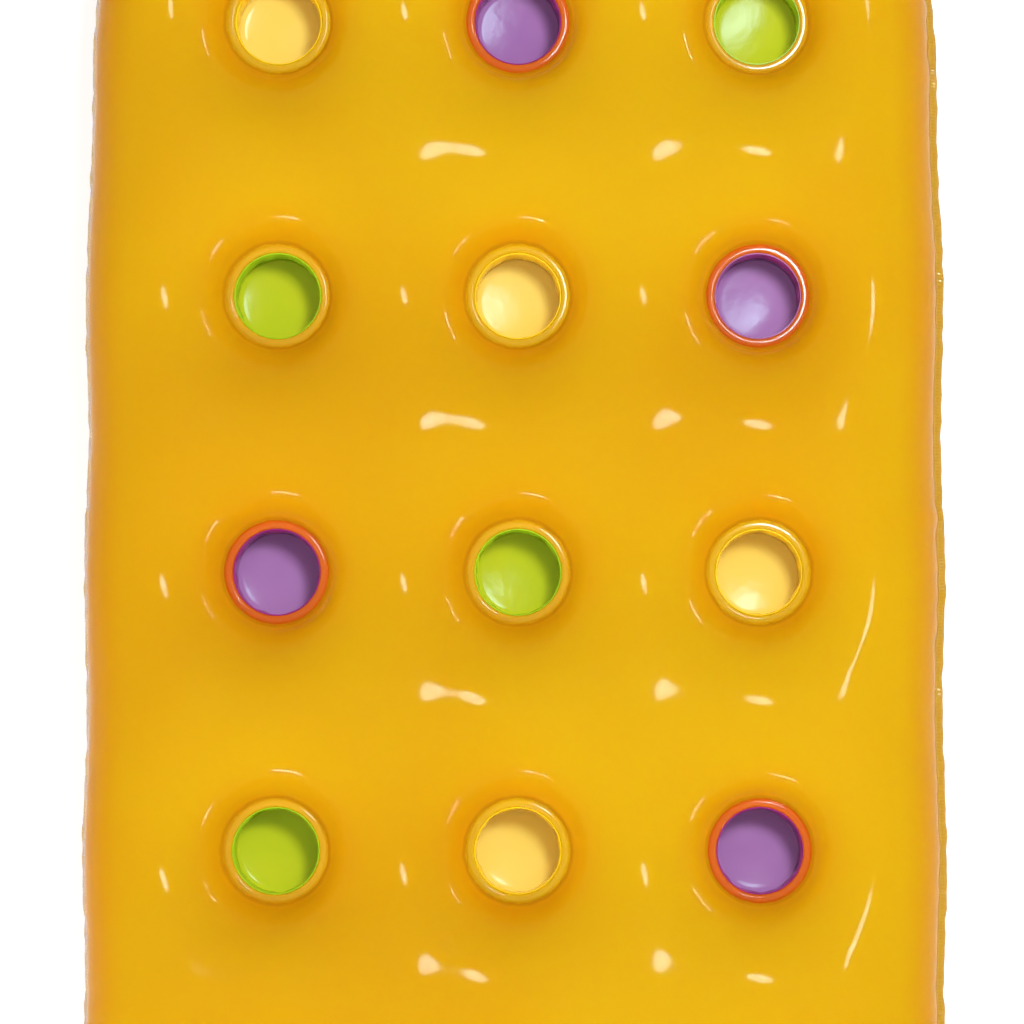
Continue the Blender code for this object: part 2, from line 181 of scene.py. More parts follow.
def block_faces(indices: np.ndarray) -> np.ndarray:
    """The faces of a grid of vertices, anticlockwise where its first axis runs right and its second up.

    Args:
        indices: Grid of vertex indices.

    Returns:
        Array of (first axis, second axis, four indices).
    """
    return np.stack([indices[:-1, :-1], indices[1:, :-1], indices[1:, 1:], indices[:-1, 1:]], axis=-1)


def block_outline(across: int, along: int) -> tuple[np.ndarray, np.ndarray]:
    """The vertices along the outline of a block of faces, anticlockwise from its first corner.

    Args:
        across: Faces on the first axis.
        along: Faces on the second axis.

    Returns:
        The first and the second index of each vertex.
    """
    first = [np.arange(across), np.full(along, across), np.arange(across, 0, -1), np.zeros(along, dtype=int)]
    second = [np.zeros(across, dtype=int), np.arange(along), np.full(across, along), np.arange(along, 0, -1)]
    return np.concatenate(first), np.concatenate(second)


def full_turn(count: int) -> np.ndarray:
    """Even angles once round, as a column.

    Args:
        count: How many.

    Returns:
        The angles, with the last one a step short of the first.
    """
    return np.linspace(0.0, 2.0 * math.pi, count, endpoint=False)[:, None]


def add_piece(name: str, vertices: np.ndarray, faces: np.ndarray, material: bpy.types.Material,
              sharp_degrees: float = 50.0) -> bpy.types.Object:
    """A smooth shaded mesh object at the origin.

    Args:
        name: The piece's name.
        vertices: Corner positions, one row each.
        faces: Indices of the corners of each face.
        material: Its finish.
        sharp_degrees: Edges that turn more than this stay sharp.

    Returns:
        The new object, linked to the scene.
    """
    mesh = bpy.data.meshes.new(name)
    mesh.from_pydata(vertices.tolist(), [], faces.tolist())
    mesh.materials.append(material)
    mesh.shade_smooth()
    mesh.set_sharp_from_angle(angle=math.radians(sharp_degrees))
    piece = bpy.data.objects.new(name, mesh)
    bpy.context.scene.collection.objects.link(piece)
    return piece


def close_mesh(piece: bpy.types.Object, sharp_degrees: float = 40.0) -> None:
    """Merges the doubled vertices of a piece, as at its poles, and turns its faces outwards.

    Args:
        piece: The mesh object.
        sharp_degrees: Edges that turn more than this stay sharp.
    """
    shape = bmesh.new()
    shape.from_mesh(piece.data)
    bmesh.ops.remove_doubles(shape, verts=shape.verts, dist=SPLINTER)
    bmesh.ops.recalc_face_normals(shape, faces=shape.faces)
    shape.to_mesh(piece.data)
    shape.free()
    piece.data.shade_smooth()
    piece.data.set_sharp_from_angle(angle=math.radians(sharp_degrees))


def add_wall(piece: bpy.types.Object, thickness: float) -> None:
    """Gives a surface its thickness, on the side that it faces away from.

    Args:
        piece: The mesh object.
        thickness: The wall's thickness.
    """
    wall = piece.modifiers.new("wall", "SOLIDIFY")
    wall.thickness = thickness
    wall.offset = -1.0


def turned_piece(name: str, centre: Point, radius: np.ndarray, height: np.ndarray,
                 material: bpy.types.Material) -> bpy.types.Object:
    """A closed body whose cross-section is carried once round a vertical axis.

    Point (i, j) is at angle 2 pi i / n, at radius[i, j] from the axis and height[i, j] above the centre.

    Args:
        name: The piece's name.
        centre: Point on the axis that heights are measured from.
        radius: Radii, with one row for each angle and one column for each point of the closed profile.
        height: Heights, of the same shape.
        material: Its finish.

    Returns:
        The new object.
    """
    turns, points = radius.shape
    angle = full_turn(turns)
    vertices = np.stack([centre[0] + radius * np.cos(angle), centre[1] + radius * np.sin(angle),
                         centre[2] + height], axis=-1).reshape(-1, 3)
    index = np.arange(turns * points).reshape(turns, points)
    index = np.concatenate([index, index[:1]])
    index = np.concatenate([index, index[:, :1]], axis=1)
    piece = add_piece(name, vertices, block_faces(index).reshape(-1, 4), material)
    close_mesh(piece)
    return piece


def set_attribute(piece: bpy.types.Object, name: str, values: np.ndarray) -> None:
    """Stores a number or a colour on each vertex.

    Args:
        piece: The mesh object.
        name: The attribute's name, as its material reads it.
        values: One number, or red, green and blue, for each vertex.
    """
    if values.ndim == 1:
        layer = piece.data.attributes.new(name, "FLOAT", "POINT")
        layer.data.foreach_set("value", values.astype(np.float32))
        return
    layer = piece.data.color_attributes.new(name, "FLOAT_COLOR", "POINT")
    opaque = np.concatenate([values, np.ones((len(values), 1))], axis=1)
    layer.data.foreach_set("color", opaque.astype(np.float32).ravel())


class Shader:
    """The node tree of one new material or world, around the node that its output shows."""

    def __init__(self, owner: bpy.types.Material | bpy.types.World, surface: str = "Principled BSDF") -> None:
        """Starts the node tree.

        Args:
            owner: The new material or world.
            surface: Name of the node that its output shows.
        """
        owner.use_nodes = True
        self.owner = owner
        self.tree = owner.node_tree
        self.surface = self.tree.nodes[surface]

    def add(self, kind: str, inputs: dict | None = None, **settings) -> bpy.types.Node:
        """Adds a node.

        Args:
            kind: Blender's name of the node type.
            inputs: A value, or a socket to join, for each named or numbered input.
            **settings: Values of the node's own properties.

        Returns:
            The new node.
        """
        node = self.tree.nodes.new(kind)
        for key, value in settings.items():
            setattr(node, key, value)
        self.feed(node, inputs or {})
        return node

    def feed(self, node: bpy.types.Node, inputs: dict) -> None:
        """Sets or joins the inputs of a node.

        Args:
            node: The node.
            inputs: A value, or a socket to join, for each named or numbered input.
        """
        for key, value in inputs.items():
            if isinstance(value, bpy.types.NodeSocket):
                self.tree.links.new(value, node.inputs[key])
            else:
                node.inputs[key].default_value = value

    def place(self) -> bpy.types.NodeSocket:
        """The socket that gives a point's place on the object."""
        return self.add("ShaderNodeTexCoord").outputs["Object"]

    def noise(self, scale: float, detail: float = 2.0) -> bpy.types.NodeSocket:
        """Noise over the object, from 0 to 1.

        Args:
            scale: Spots in a metre.
            detail: How many finer layers it has.

        Returns:
            The socket with its value.
        """
        node = self.add("ShaderNodeTexNoise", {"Vector": self.place(), "Scale": scale, "Detail": detail})
        return node.outputs["Fac"]

    def reading(self, name: str) -> bpy.types.NodeSocket:
        """The number that an attribute of the piece holds.

        Args:
            name: The attribute's name.

        Returns:
            The socket with its value.
        """
        return self.add("ShaderNodeAttribute", attribute_name=name).outputs["Fac"]

    def math(self, operation: str, first, second=0.0) -> bpy.types.NodeSocket:
        """One sum of two values.

        Args:
            operation: Blender's name of the operation.
            first: A value or a socket.
            second: A value or a socket.

        Returns:
            The socket with the result.
        """
        return self.add("ShaderNodeMath", {0: first, 1: second}, operation=operation).outputs[0]

    def ramp(self, value, low: float, high: float, start: float = 0.0, end: float = 1.0) -> bpy.types.NodeSocket:
        """A value carried from one range to another with eased, held ends.

        Args:
            value: The socket to read.
            low: Where the ramp starts.
            high: Where it ends.
            start: Result at the low end.
            end: Result at the high end.

        Returns:
            The socket with the result.
        """
        inputs = {"Value": value, "From Min": low, "From Max": high, "To Min": start, "To Max": end}
        return self.add("ShaderNodeMapRange", inputs, interpolation_type="SMOOTHSTEP").outputs["Result"]

    def roughness(self, scale: float, detail: float, middle: float, spread: Pair) -> bpy.types.NodeSocket:
        """A roughness that varies in soft spots.

        Args:
            scale: Spots in a metre.
            detail: How many finer layers they have.
            middle: The plain roughness.
            spread: The least and the most of it, as shares of the plain roughness.

        Returns:
            The socket with its value.
        """
        return self.ramp(self.noise(scale, detail), *NOISE_BAND, *(middle * share for share in spread))

    def mix(self, share, first, second) -> bpy.types.NodeSocket:
        """Two colours mixed.

        Args:
            share: How much of the second there is, a value or a socket.
            first: A colour or a socket.
            second: A colour or a socket.

        Returns:
            The socket with the mixed colour.
        """
        colours = [(*c, 1.0) if isinstance(c, tuple) else c for c in (first, second)]
        node = self.add("ShaderNodeMix", {0: share, 6: colours[0], 7: colours[1]}, data_type="RGBA")
        return node.outputs[2]

    def seen(self) -> bpy.types.NodeSocket:
        """1 where the camera sees the surface, also in a gloss or through a clear piece, and 0 for other light."""
        path = self.add("ShaderNodeLightPath")
        direct = self.math("MAXIMUM", path.outputs["Is Camera Ray"], path.outputs["Is Glossy Ray"])
        return self.math("MAXIMUM", direct, path.outputs["Is Transmission Ray"])

    def relief(self, height, depth: float) -> None:
        """Gives the surface a relief.

        Args:
            height: The socket with the relief's height, from 0 to 1.
            depth: Height of a step from 0 to 1, in metres.
        """
        bump = self.add("ShaderNodeBump", {"Height": height, "Distance": depth})
        self.feed(self.surface, {"Normal": bump.outputs["Normal"]})


@dataclass(frozen=True)
class FilmFinish:
    """The orange film: thin glossy vinyl, redder where it is welded round a pocket and duller on its welded flange.
    It also carries painted shade: deeper orange on the dimple slopes round each pocket and on the rolled side
    near the seam, and a dark line in the crease at the edge of each pocket's land.

    A band or edge is a start and an end in metres, over which a colour comes or goes, and a share is how much
    of the colour there is at most. Scales are spots in a metre.
    """

    name: str = "orange_vinyl"
    deep: Colour = (0.880, 0.375, 0.0025)
    light: Colour = (0.910, 0.435, 0.0030)
    # Painted shade: the deeper orange put on the dimple slopes round each pocket.
    painted_dimple_shade: Colour = (0.930, 0.320, 0.0030)
    # Painted shade: the deeper, redder orange put on the rolled side where the film turns down to its seam.
    painted_edge_shade: Colour = (0.840, 0.240, 0.0025)
    # Painted shade: the dark line put in the crease at the outer edge of each pocket's land.
    painted_crease_shade: Colour = (0.520, 0.180, 0.004)
    welded: Colour = (0.660, 0.380, 0.020)
    alpha: float = 0.82
    roughness: float = 0.060
    rough_spread: Pair = (0.8, 1.3)
    rough_scale: float = 9.0
    gloss: float = 0.075
    sheen_tint: Colour = (1.0, 0.88, 0.68)
    glow: float = 0.40
    glow_depth: float = 0.004
    glow_reach: Colour = (1.0, 0.50, 0.10)
    cloud_scale: float = 3.2
    cloud_band: Pair = (0.35, 0.65)
    shade_patch_scale: float = 18.0
    shade_patch_least: float = 0.6
    wobble_scale: float = 140.0
    wobble: float = 0.0016
    dimple_shade_band: Pair = (0.0430, 0.0740)
    dimple_shade_share: float = 0.45
    land_edge: Pair = (0.0400, 0.0413)
    crease_shade_rise: Pair = (0.0398, 0.0412)
    crease_shade_fall: Pair = (0.0416, 0.0440)
    crease_shade_share: float = 0.45
    edge_shade_band: Pair = (0.002, 0.036)
    edge_shade_share: float = 0.64
    weld_edge: Pair = (-0.0008, 0.0012)
    welded_share: float = 0.60
    peel_scale: float = 260.0
    peel_depth: float = 0.00001
    rib_pitch: float = 0.0026
    rib_depth: float = 0.00022
    rib_share: float = 0.5

    def material(self) -> bpy.types.Material:
        """The finish as a material, which reads pocket_radius, pocket_tint, seam_distance and seam_run."""
        shader = Shader(bpy.data.materials.new(self.name))
        body = shader.mix(shader.ramp(shader.noise(self.cloud_scale), *self.cloud_band), self.deep, self.light)
        wobble = shader.math("MULTIPLY", shader.math("SUBTRACT", shader.noise(self.wobble_scale), 0.5), self.wobble)
        radius = shader.math("ADD", shader.reading("pocket_radius"), wobble)
        # Painted shade: deeper, redder orange in soft patches on the slope where the film turns down to each pocket.
        dimple_shade = shader.math("MULTIPLY", shader.ramp(radius, *self.dimple_shade_band, self.dimple_shade_share, 0.0),
                             shader.ramp(shader.noise(self.shade_patch_scale), *NOISE_BAND, self.shade_patch_least))
        body = shader.mix(dimple_shade, body, self.painted_dimple_shade)
        tint = shader.add("ShaderNodeAttribute", attribute_name="pocket_tint").outputs["Color"]
        body = shader.mix(shader.ramp(radius, *self.land_edge, 1.0, 0.0), body, tint)
        # Painted shade: a thin dark ring in the crease just outside each pocket's land.
        painted_crease_shade = shader.math("MULTIPLY", shader.ramp(radius, *self.crease_shade_rise),
                             shader.ramp(radius, *self.crease_shade_fall, 1.0, 0.0))
        body = shader.mix(shader.math("MULTIPLY", painted_crease_shade, self.crease_shade_share), body, self.painted_crease_shade)
        distance = shader.reading("seam_distance")
        # Painted shade: deeper, redder orange from just inside the seam inwards, over the steep rolled side.
        body = shader.mix(shader.ramp(distance, *self.edge_shade_band, self.edge_shade_share, 0.0), body, self.painted_edge_shade)
        weld = shader.ramp(distance, *self.weld_edge, 1.0, 0.0)
        body = shader.mix(shader.math("MULTIPLY", weld, self.welded_share), body, self.welded)
        run = shader.math("MULTIPLY", shader.reading("seam_run"), 2.0 * math.pi / self.rib_pitch)
        ribs = shader.math("MULTIPLY", shader.math("SINE", run), weld)
        peel = shader.math("MULTIPLY", shader.noise(self.peel_scale), self.peel_depth / self.rib_depth)
        shader.relief(shader.math("ADD", peel, shader.math("MULTIPLY", ribs, self.rib_share)), self.rib_depth)
        rough = shader.roughness(self.rough_scale, 4.0, self.roughness, self.rough_spread)
        shader.feed(shader.surface, {"Base Color": body, "Roughness": rough, "Alpha": self.alpha,
                                     "Specular IOR Level": self.gloss, "Specular Tint": (*self.sheen_tint, 1.0),
                                     "Subsurface Weight": self.glow, "Subsurface Radius": self.glow_reach,
                                     "Subsurface Scale": self.glow_depth})
        return shader.owner


@dataclass(frozen=True)
class InsertFinish:
    """A coloured film of a pocket: its clear window, or its sleeve, which is the same film seen edge on."""

    name: str
    lit: Colour
    deep: Colour
    alpha: float
    roughness: float = 0.10
    rough_spread: Pair = (0.8, 1.4)
    rough_scale: float = 30.0
    gloss: float = 0.075
    cloud_scale: float = 14.0
    grain_scale: float = 120.0
    grain_depth: float = 0.00006

    def material(self) -> bpy.types.Material:
        """The finish as a material."""
        shader = Shader(bpy.data.materials.new(self.name))
        body = shader.mix(shader.ramp(shader.noise(self.cloud_scale, 3.0), *NOISE_BAND), self.lit, self.deep)
        rough = shader.roughness(self.rough_scale, 3.0, self.roughness, self.rough_spread)
        shader.relief(shader.noise(self.grain_scale, 3.0), self.grain_depth)
        shader.feed(shader.surface, {"Base Color": body, "Roughness": rough, "Alpha": self.alpha,
                                     "Specular IOR Level": self.gloss})
        return shader.owner


@dataclass(frozen=True)
class ValveFinish:
    """Soft clear vinyl of a valve, milky where it is thick."""

    name: str = "clear_vinyl"
    pale: Colour = (0.86, 0.88, 0.86)
    milky: Colour = (0.72, 0.76, 0.74)
    alpha: float = 0.62
    roughness: float = 0.16
    cloud_scale: float = 160.0
    grain_scale: float = 900.0
    grain_depth: float = 0.00003
    glow: float = 0.15
    glow_depth: float = 0.004

    def material(self) -> bpy.types.Material:
        """The finish as a material."""
        shader = Shader(bpy.data.materials.new(self.name))
        body = shader.mix(shader.noise(self.cloud_scale, 3.0), self.pale, self.milky)
        shader.relief(shader.noise(self.grain_scale), self.grain_depth)
        shader.feed(shader.surface, {"Base Color": body, "Roughness": self.roughness, "Alpha": self.alpha,
                                     "Subsurface Weight": self.glow, "Subsurface Scale": self.glow_depth})
        return shader.owner


WINDOW_FINISHES = {
    Shade.YELLOW: InsertFinish("yellow_window", (0.90, 0.74, 0.175), (0.88, 0.70, 0.130), 0.985),
    Shade.GREEN: InsertFinish("green_window", (0.64, 0.655, 0.018), (0.56, 0.625, 0.016), 0.985),
    Shade.PURPLE: InsertFinish("purple_window", (0.46, 0.235, 0.55), (0.40, 0.185, 0.49), 0.985),
}

SLEEVE_FINISHES = {
    Shade.YELLOW: InsertFinish("yellow_sleeve", (0.97, 0.70, 0.010), (0.94, 0.64, 0.008), 0.97),
    Shade.GREEN: InsertFinish("green_sleeve", (0.40, 0.68, 0.016), (0.32, 0.58, 0.012), 0.97),
    Shade.PURPLE: InsertFinish("purple_sleeve", (0.36, 0.020, 0.22), (0.27, 0.014, 0.17), 0.97),
}

LAND_TINTS = {
    Shade.YELLOW: (0.94, 0.50, 0.006),
    Shade.GREEN: (0.94, 0.46, 0.007),
    Shade.PURPLE: (0.86, 0.150, 0.006),
}


@dataclass(frozen=True)
class Chamber:
    """One air chamber: where its seam runs and how its films stand up from it, in metres.

    web_end is 1 where the fold web is at its head and -1 where it is at its foot.
    """

    body: str
    foot: float
    head: float
    corner: float
    roll: float
    scallop: float
    web_end: int
    valve: Pair
    pockets: tuple[tuple[int, int, float, float, Shade], ...] = ()

    def half_width(self, y: np.ndarray) -> np.ndarray:
        """Half the chamber's width: full in the middle, drawn in towards both ends and beside each pocket row.

        Args:
            y: Places along the chamber.

        Returns:
            The distance of the side seam from the middle.
        """
        from_end = np.minimum(self.head - y, y - self.foot)
        taper = SIZES.end_taper * np.clip(1.0 - from_end / SIZES.taper_length, 0.0, 1.0) ** 2
        wave = np.cos(2.0 * math.pi * (y - SIZES.first_row_y) / SIZES.row_pitch) - 1.0
        return SIZES.half_width - taper + self.scallop * wave * smooth_step(from_end / SIZES.end_margin)

    def seam_distance(self, x: np.ndarray, y: np.ndarray) -> np.ndarray:
        """How far inside the rounded seam a point lies, negative outside it.

        Args:
            x: Places across.
            y: Places along.

        Returns:
            The distances.
        """
        across = np.abs(x) - (self.half_width(y) - self.corner)
        along = np.maximum(self.foot + self.corner - y, y - self.head + self.corner)
        outside = np.hypot(np.maximum(across, 0.0), np.maximum(along, 0.0))
        return self.corner - outside - np.minimum(np.maximum(across, along), 0.0)

    def pocket_radius(self, x: np.ndarray, y: np.ndarray) -> tuple[np.ndarray, np.ndarray]:
        """The distance to the nearest pocket's centre, and that pocket's place in the list.

        Args:
            x: Places across.
            y: Places along.

        Returns:
            The distances and the list positions, or 1 m and 0 where the chamber has no pockets.
        """
        if not self.pockets:
            return np.ones_like(x), np.zeros(x.shape, dtype=int)
        radii = np.stack([np.hypot(x - px, y - py) for _, _, px, py, _ in self.pockets])
        return radii.min(axis=0), radii.argmin(axis=0)

    def open_height(self, x: np.ndarray, y: np.ndarray) -> np.ndarray:
        """Height of a film over the mid plane: a quarter ellipse in from the seam, drawn down to each pocket.

        Its square is the edge's share times the crest's square, which falls to the ring's square round each
        pocket with one factor 1 - exp(-distance / reach) for each pocket.

        Args:
            x: Places across.
            y: Places along.

        Returns:
            The heights.
        """
        share = np.clip(self.seam_distance(x, y) / self.roll, 0.0, 1.0)
        edge = 1.0 - (1.0 - share) ** 2
        rise = np.ones_like(x)
        for _, _, px, py, _ in self.pockets:
            beyond = np.maximum(np.hypot(x - px, y - py) - SIZES.land_radius, 0.0)
            rise = rise * (1.0 - np.exp(-beyond / SIZES.dimple_reach))
        ring = SIZES.ring_level ** 2
        return np.sqrt(edge * (ring + (SIZES.crest ** 2 - ring) * rise))

    def upper_height(self, x: np.ndarray, y: np.ndarray) -> np.ndarray:
        """Height of the upper film: the open height, level round the valve.

        Args:
            x: Places across.
            y: Places along.

        Returns:
            The heights over the mid plane.
        """
        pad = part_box(f"{self.body}_valve_base")[1].z - SIZES.middle_z - SIZES.weld_offset
        from_valve = np.hypot(x - self.valve[0], y - self.valve[1])
        blend = smooth_step((from_valve - SIZES.valve_pad) / SIZES.valve_pad_blend)
        return pad + (self.open_height(x, y) - pad) * blend

    def lower_height(self, x: np.ndarray, y: np.ndarray) -> np.ndarray:
        """Depth of the lower film: the open height, flattened where it rests.

        Args:
            x: Places across.
            y: Places along.

        Returns:
            The depths below the mid plane.
        """
        return np.minimum(self.open_height(x, y), SIZES.rest_depth)


MATTRESS = Chamber(body="mattress", foot=-0.87475, head=0.50275, corner=0.085, roll=0.080, scallop=0.0014,
                   web_end=1, valve=(-0.0935, -0.80875), pockets=tuple(SIZES.pockets()))
PILLOW = Chamber(body="pillow", foot=0.52475, head=0.87475, corner=0.105, roll=0.150, scallop=0.0,
                 web_end=-1, valve=(0.195, 0.69975))


@dataclass
class FilmPlan:
    """Where the points of a film lie in plan.

    A core grid covers the chamber, bent to a ring of circles round each pocket. From the core's outline, rings
    of points run out to the rounded seam, closer together where the film turns down to it, and then over the
    welded flange to the sheet's edge.
    """

    chamber: Chamber
    hole_lines: int = 6
    lip_rings: int = 7
    cell_rings: tuple[int, int] = (9, 11)
    plain_lines: tuple[int, int] = (70, 30)
    margin_rings: int = 12
    flange_rings: int = 3
    patch_rings: int = 7
    hole_share: float = 0.30
    lip_share: float = 0.55
    cell_growth: float = 1.35
    lip_radii: tuple[float, ...] = (0.0335, 0.0342, 0.0350, 0.0362, 0.0376, 0.0390, 0.0403, 0.0422)
    plain_inset: float = 0.58
    corner_turn: float = math.radians(50.0)
    corner_spread: float = 0.130
    most_spread: float = 0.45
    web_overlap: float = 0.0008
    patch_margin: float = 0.0045
    points: np.ndarray = field(init=False)
    faces: np.ndarray = field(init=False)
    ring_share: np.ndarray = field(init=False)
    run: np.ndarray = field(init=False)
    outward: np.ndarray = field(init=False)
    run_length: float = field(init=False)

    def cell_lines(self, centres: np.ndarray, rings: int) -> tuple[np.ndarray, np.ndarray]:
        """Grid lines across a row of equal cells.

        Args:
            centres: Centre of each cell, in rising order.
            rings: Lines between a pocket's lip and the cell's border.

        Returns:
            For each line the centre of its cell, and its place in it from -1 to 1.
        """
        hole = self.hole_share * np.arange(-self.hole_lines, self.hole_lines + 1) / self.hole_lines
        lip = self.hole_share + (self.lip_share - self.hole_share) * np.arange(1, self.lip_rings + 1) / self.lip_rings
        outer = self.lip_share + (1.0 - self.lip_share) * np.arange(1, rings + 1) / rings
        side = np.concatenate([lip, outer])
        local = np.concatenate([-side[::-1], hole, side])
        centre_of = np.append(np.repeat(centres, len(local) - 1), centres[-1])
        return centre_of, np.append(np.tile(local[:-1], len(centres)), local[-1])

    def pocket_core(self) -> tuple[np.ndarray, np.ndarray, np.ndarray]:
        """The core grid over the pockets.

        In a cell, m is the greater of the two places from -1 to 1. Squares of equal m become circles up to the
        lip's outer radius, and from there they change evenly to the cell's rectangle.

        Returns:
            The grid's x, its y, and for each face whether it is kept.
        """
        xs = np.unique(np.round([p[2] for p in self.chamber.pockets], 9))
        ys = np.unique(np.round([p[3] for p in self.chamber.pockets], 9))
        (centre_x, local_x), (centre_y, local_y) = (
            self.cell_lines(xs, self.cell_rings[0]), self.cell_lines(ys, self.cell_rings[1]))
        s, t = np.meshgrid(local_x, local_y, indexing="ij")
        reach = np.maximum(np.maximum(np.abs(s), np.abs(t)), SPLINTER)
        u, v = s / reach, t / reach
        angle = np.arctan2(np.tan(v * math.pi / 4.0), np.tan(u * math.pi / 4.0))
        lip = np.clip((reach - self.hole_share) / (self.lip_share - self.hole_share), 0.0, 1.0)
        radius = np.interp(lip, np.linspace(0.0, 1.0, len(self.lip_radii)), self.lip_radii)
        square = np.clip((reach - self.lip_share) / (1.0 - self.lip_share), 0.0, 1.0) ** self.cell_growth
        x = centre_x[:, None] + (1.0 - square) * radius * np.cos(angle) + square * SIZES.column_pitch / 2.0 * u
        y = centre_y[None, :] + (1.0 - square) * radius * np.sin(angle) + square * SIZES.row_pitch / 2.0 * v
        in_hole = [(np.abs(local[:-1] + local[1:]) / 2.0 < self.hole_share) & (centre[:-1] == centre[1:])
                   for centre, local in ((centre_x, local_x), (centre_y, local_y))]
        return x, y, ~(in_hole[0][:, None] & in_hole[1][None, :])

    def plain_core(self) -> tuple[np.ndarray, np.ndarray, np.ndarray]:
        """The core grid of a chamber without pockets: even lines over a rectangle inside its corners.

        Returns:
            The grid's x, its y, and for each face that it is kept.
        """
        inset = self.chamber.corner * self.plain_inset
        x = np.linspace(-1.0, 1.0, self.plain_lines[0] + 1) * (SIZES.half_width - inset)
        y = np.linspace(self.chamber.foot + inset, self.chamber.head - inset, self.plain_lines[1] + 1)
        grid_x, grid_y = np.meshgrid(x, y, indexing="ij")
        return grid_x, grid_y, np.ones(self.plain_lines, dtype=bool)

    def seam_points(self, x: np.ndarray, y: np.ndarray, on_side: np.ndarray
                    ) -> tuple[np.ndarray, np.ndarray, np.ndarray]:
        """Where the rings of the core's outline meet the seam and the sheet's edge.

        Far from the corners a point goes straight out. Towards a corner the points spread, with a share that
        grows as the square of the way, so that the outline's corner meets the middle of the seam's arc.

        Args:
            x: The outline's x.
            y: The outline's y.
            on_side: Whether the point is on the long side of the outline.

        Returns:
            Points on the seam, points on the sheet's edge, and the outward directions, one row each.
        """
        chamber = self.chamber
        sign = np.sign(x)
        end = np.where(y > (chamber.foot + chamber.head) / 2.0, 1.0, -1.0)
        end_y = np.where(end > 0.0, chamber.head, chamber.foot)
        arc_y = end_y - end * chamber.corner
        outline_end = np.where(end > 0.0, y.max(), y.min())
        side_spread = min(self.corner_spread, (y.max() - y.min()) * self.most_spread)
        spread = np.where(on_side, side_spread, self.corner_spread)
        arc_x = chamber.half_width(end_y) - chamber.corner
        past = np.where(on_side, spread - np.abs(outline_end - y), spread - (x.max() - np.abs(x)))
        start = np.where(on_side, outline_end - end * spread, x.max() - spread)
        straight = np.where(on_side, np.abs(arc_y - start), arc_x - start)
        turn = np.where(on_side, self.corner_turn, math.pi / 2.0 - self.corner_turn)
        total = straight + chamber.corner * turn
        way = np.maximum(past, 0.0)
        way = way + (total - spread) * (way / spread) ** 2
        turned = np.maximum(way - straight, 0.0) / chamber.corner
        phi = np.where(on_side, turned, math.pi / 2.0 - turned)
        level_y = np.where(past > 0.0, start + end * np.minimum(way, straight), y)
        seam_y = np.where(on_side & (turned <= 0.0), level_y, arc_y + end * chamber.corner * np.sin(phi))
        level_x = np.where(past > 0.0, start + np.minimum(way, straight), np.abs(x))
        arc = chamber.half_width(seam_y) - chamber.corner + chamber.corner * np.cos(phi)
        seam_x = sign * np.where(on_side | (turned > 0.0), arc, level_x)
        outward = np.stack([sign * np.cos(phi), end * np.sin(phi)], axis=-1)
        seam = np.stack([seam_x, seam_y], axis=-1)
        edge = seam + SIZES.flange * outward
        web_y = end_y + end * self.web_overlap
        share = turned / turn
        corner_x = chamber.half_width(end_y) + SIZES.flange
        side_y = np.where(turned > 0.0, arc_y + (web_y - arc_y) * share, seam_y)
        side = np.stack([sign * (chamber.half_width(side_y) + SIZES.flange), side_y], axis=-1)
        across = np.where(turned > 0.0, arc_x + (corner_x - arc_x) * share, np.abs(seam_x))
        web = np.stack([sign * across, web_y], axis=-1)
        square = np.where(on_side[:, None], side, web)
        edge = np.where((end == chamber.web_end)[:, None], square, edge)
        return seam, edge, outward

    def build(self) -> None:
        """Works out the points, the faces, and for each point its ring, its place along the seam and the way out.

        ring_share is 0 on the core, 1 on the seam and 2 on the sheet's edge.
        """
        x, y, keep = self.pocket_core() if self.chamber.pockets else self.plain_core()
        core = np.arange(x.size).reshape(x.shape)
        loop_i, loop_j = block_outline(*keep.shape)
        start = np.stack([x[loop_i, loop_j], y[loop_i, loop_j]], axis=-1)
        on_side = np.isclose(np.abs(start[:, 0]), x.max())
        seam, edge, outward = self.seam_points(start[:, 0], start[:, 1], on_side)
        steps = np.linalg.norm(np.roll(seam, -1, axis=0) - seam, axis=1)
        run = np.concatenate([[0.0], np.cumsum(steps)[:-1]])
        self.run_length = float(steps.sum())

        margin = np.linalg.norm(start - seam, axis=1)
        rolled = np.arccos(np.clip(1.0 - margin / self.chamber.roll, -1.0, 1.0))
        shares = np.arange(1, self.margin_rings + 1) / self.margin_rings
        left = self.chamber.roll * (1.0 - np.cos(rolled * (1.0 - shares[:, None]))) / margin
        rings = seam + (start - seam) * left[..., None]
        out = np.arange(1, self.flange_rings + 1)[:, None, None] / self.flange_rings
        rings = np.concatenate([rings, seam + (edge - seam) * out])
        ring_index = x.size + np.arange(rings.shape[0] * len(start)).reshape(rings.shape[:2])
        loops = np.concatenate([core[loop_i, loop_j][None], ring_index])

        keep, patch_points, patch_faces = self.valve_patch(x, y, core, keep, x.size + ring_index.size)
        faces = [block_faces(core)[keep]]
        faces += [strip_faces(outer, inner) for inner, outer in zip(loops[:-1], loops[1:])]
        points = np.concatenate([np.stack([x.ravel(), y.ravel()], axis=-1), rings.reshape(-1, 2), patch_points])
        faces = np.concatenate(faces + patch_faces)
        ring_values = np.concatenate([shares, 1.0 + out.ravel()])
        fill = np.zeros(len(patch_points))
        self.ring_share = np.concatenate([np.zeros(x.size), np.repeat(ring_values, len(start)), fill])
        self.run = np.concatenate([np.zeros(x.size), np.tile(run, len(rings)), fill])
        self.outward = np.concatenate([np.zeros((x.size, 2)), np.tile(outward, (len(rings), 1)),
                                       np.zeros((len(fill), 2))])
        used, faces = np.unique(faces, return_inverse=True)
        self.faces = faces.reshape(-1, 4)
        self.points, self.ring_share = points[used], self.ring_share[used]
        self.run, self.outward = self.run[used], self.outward[used]

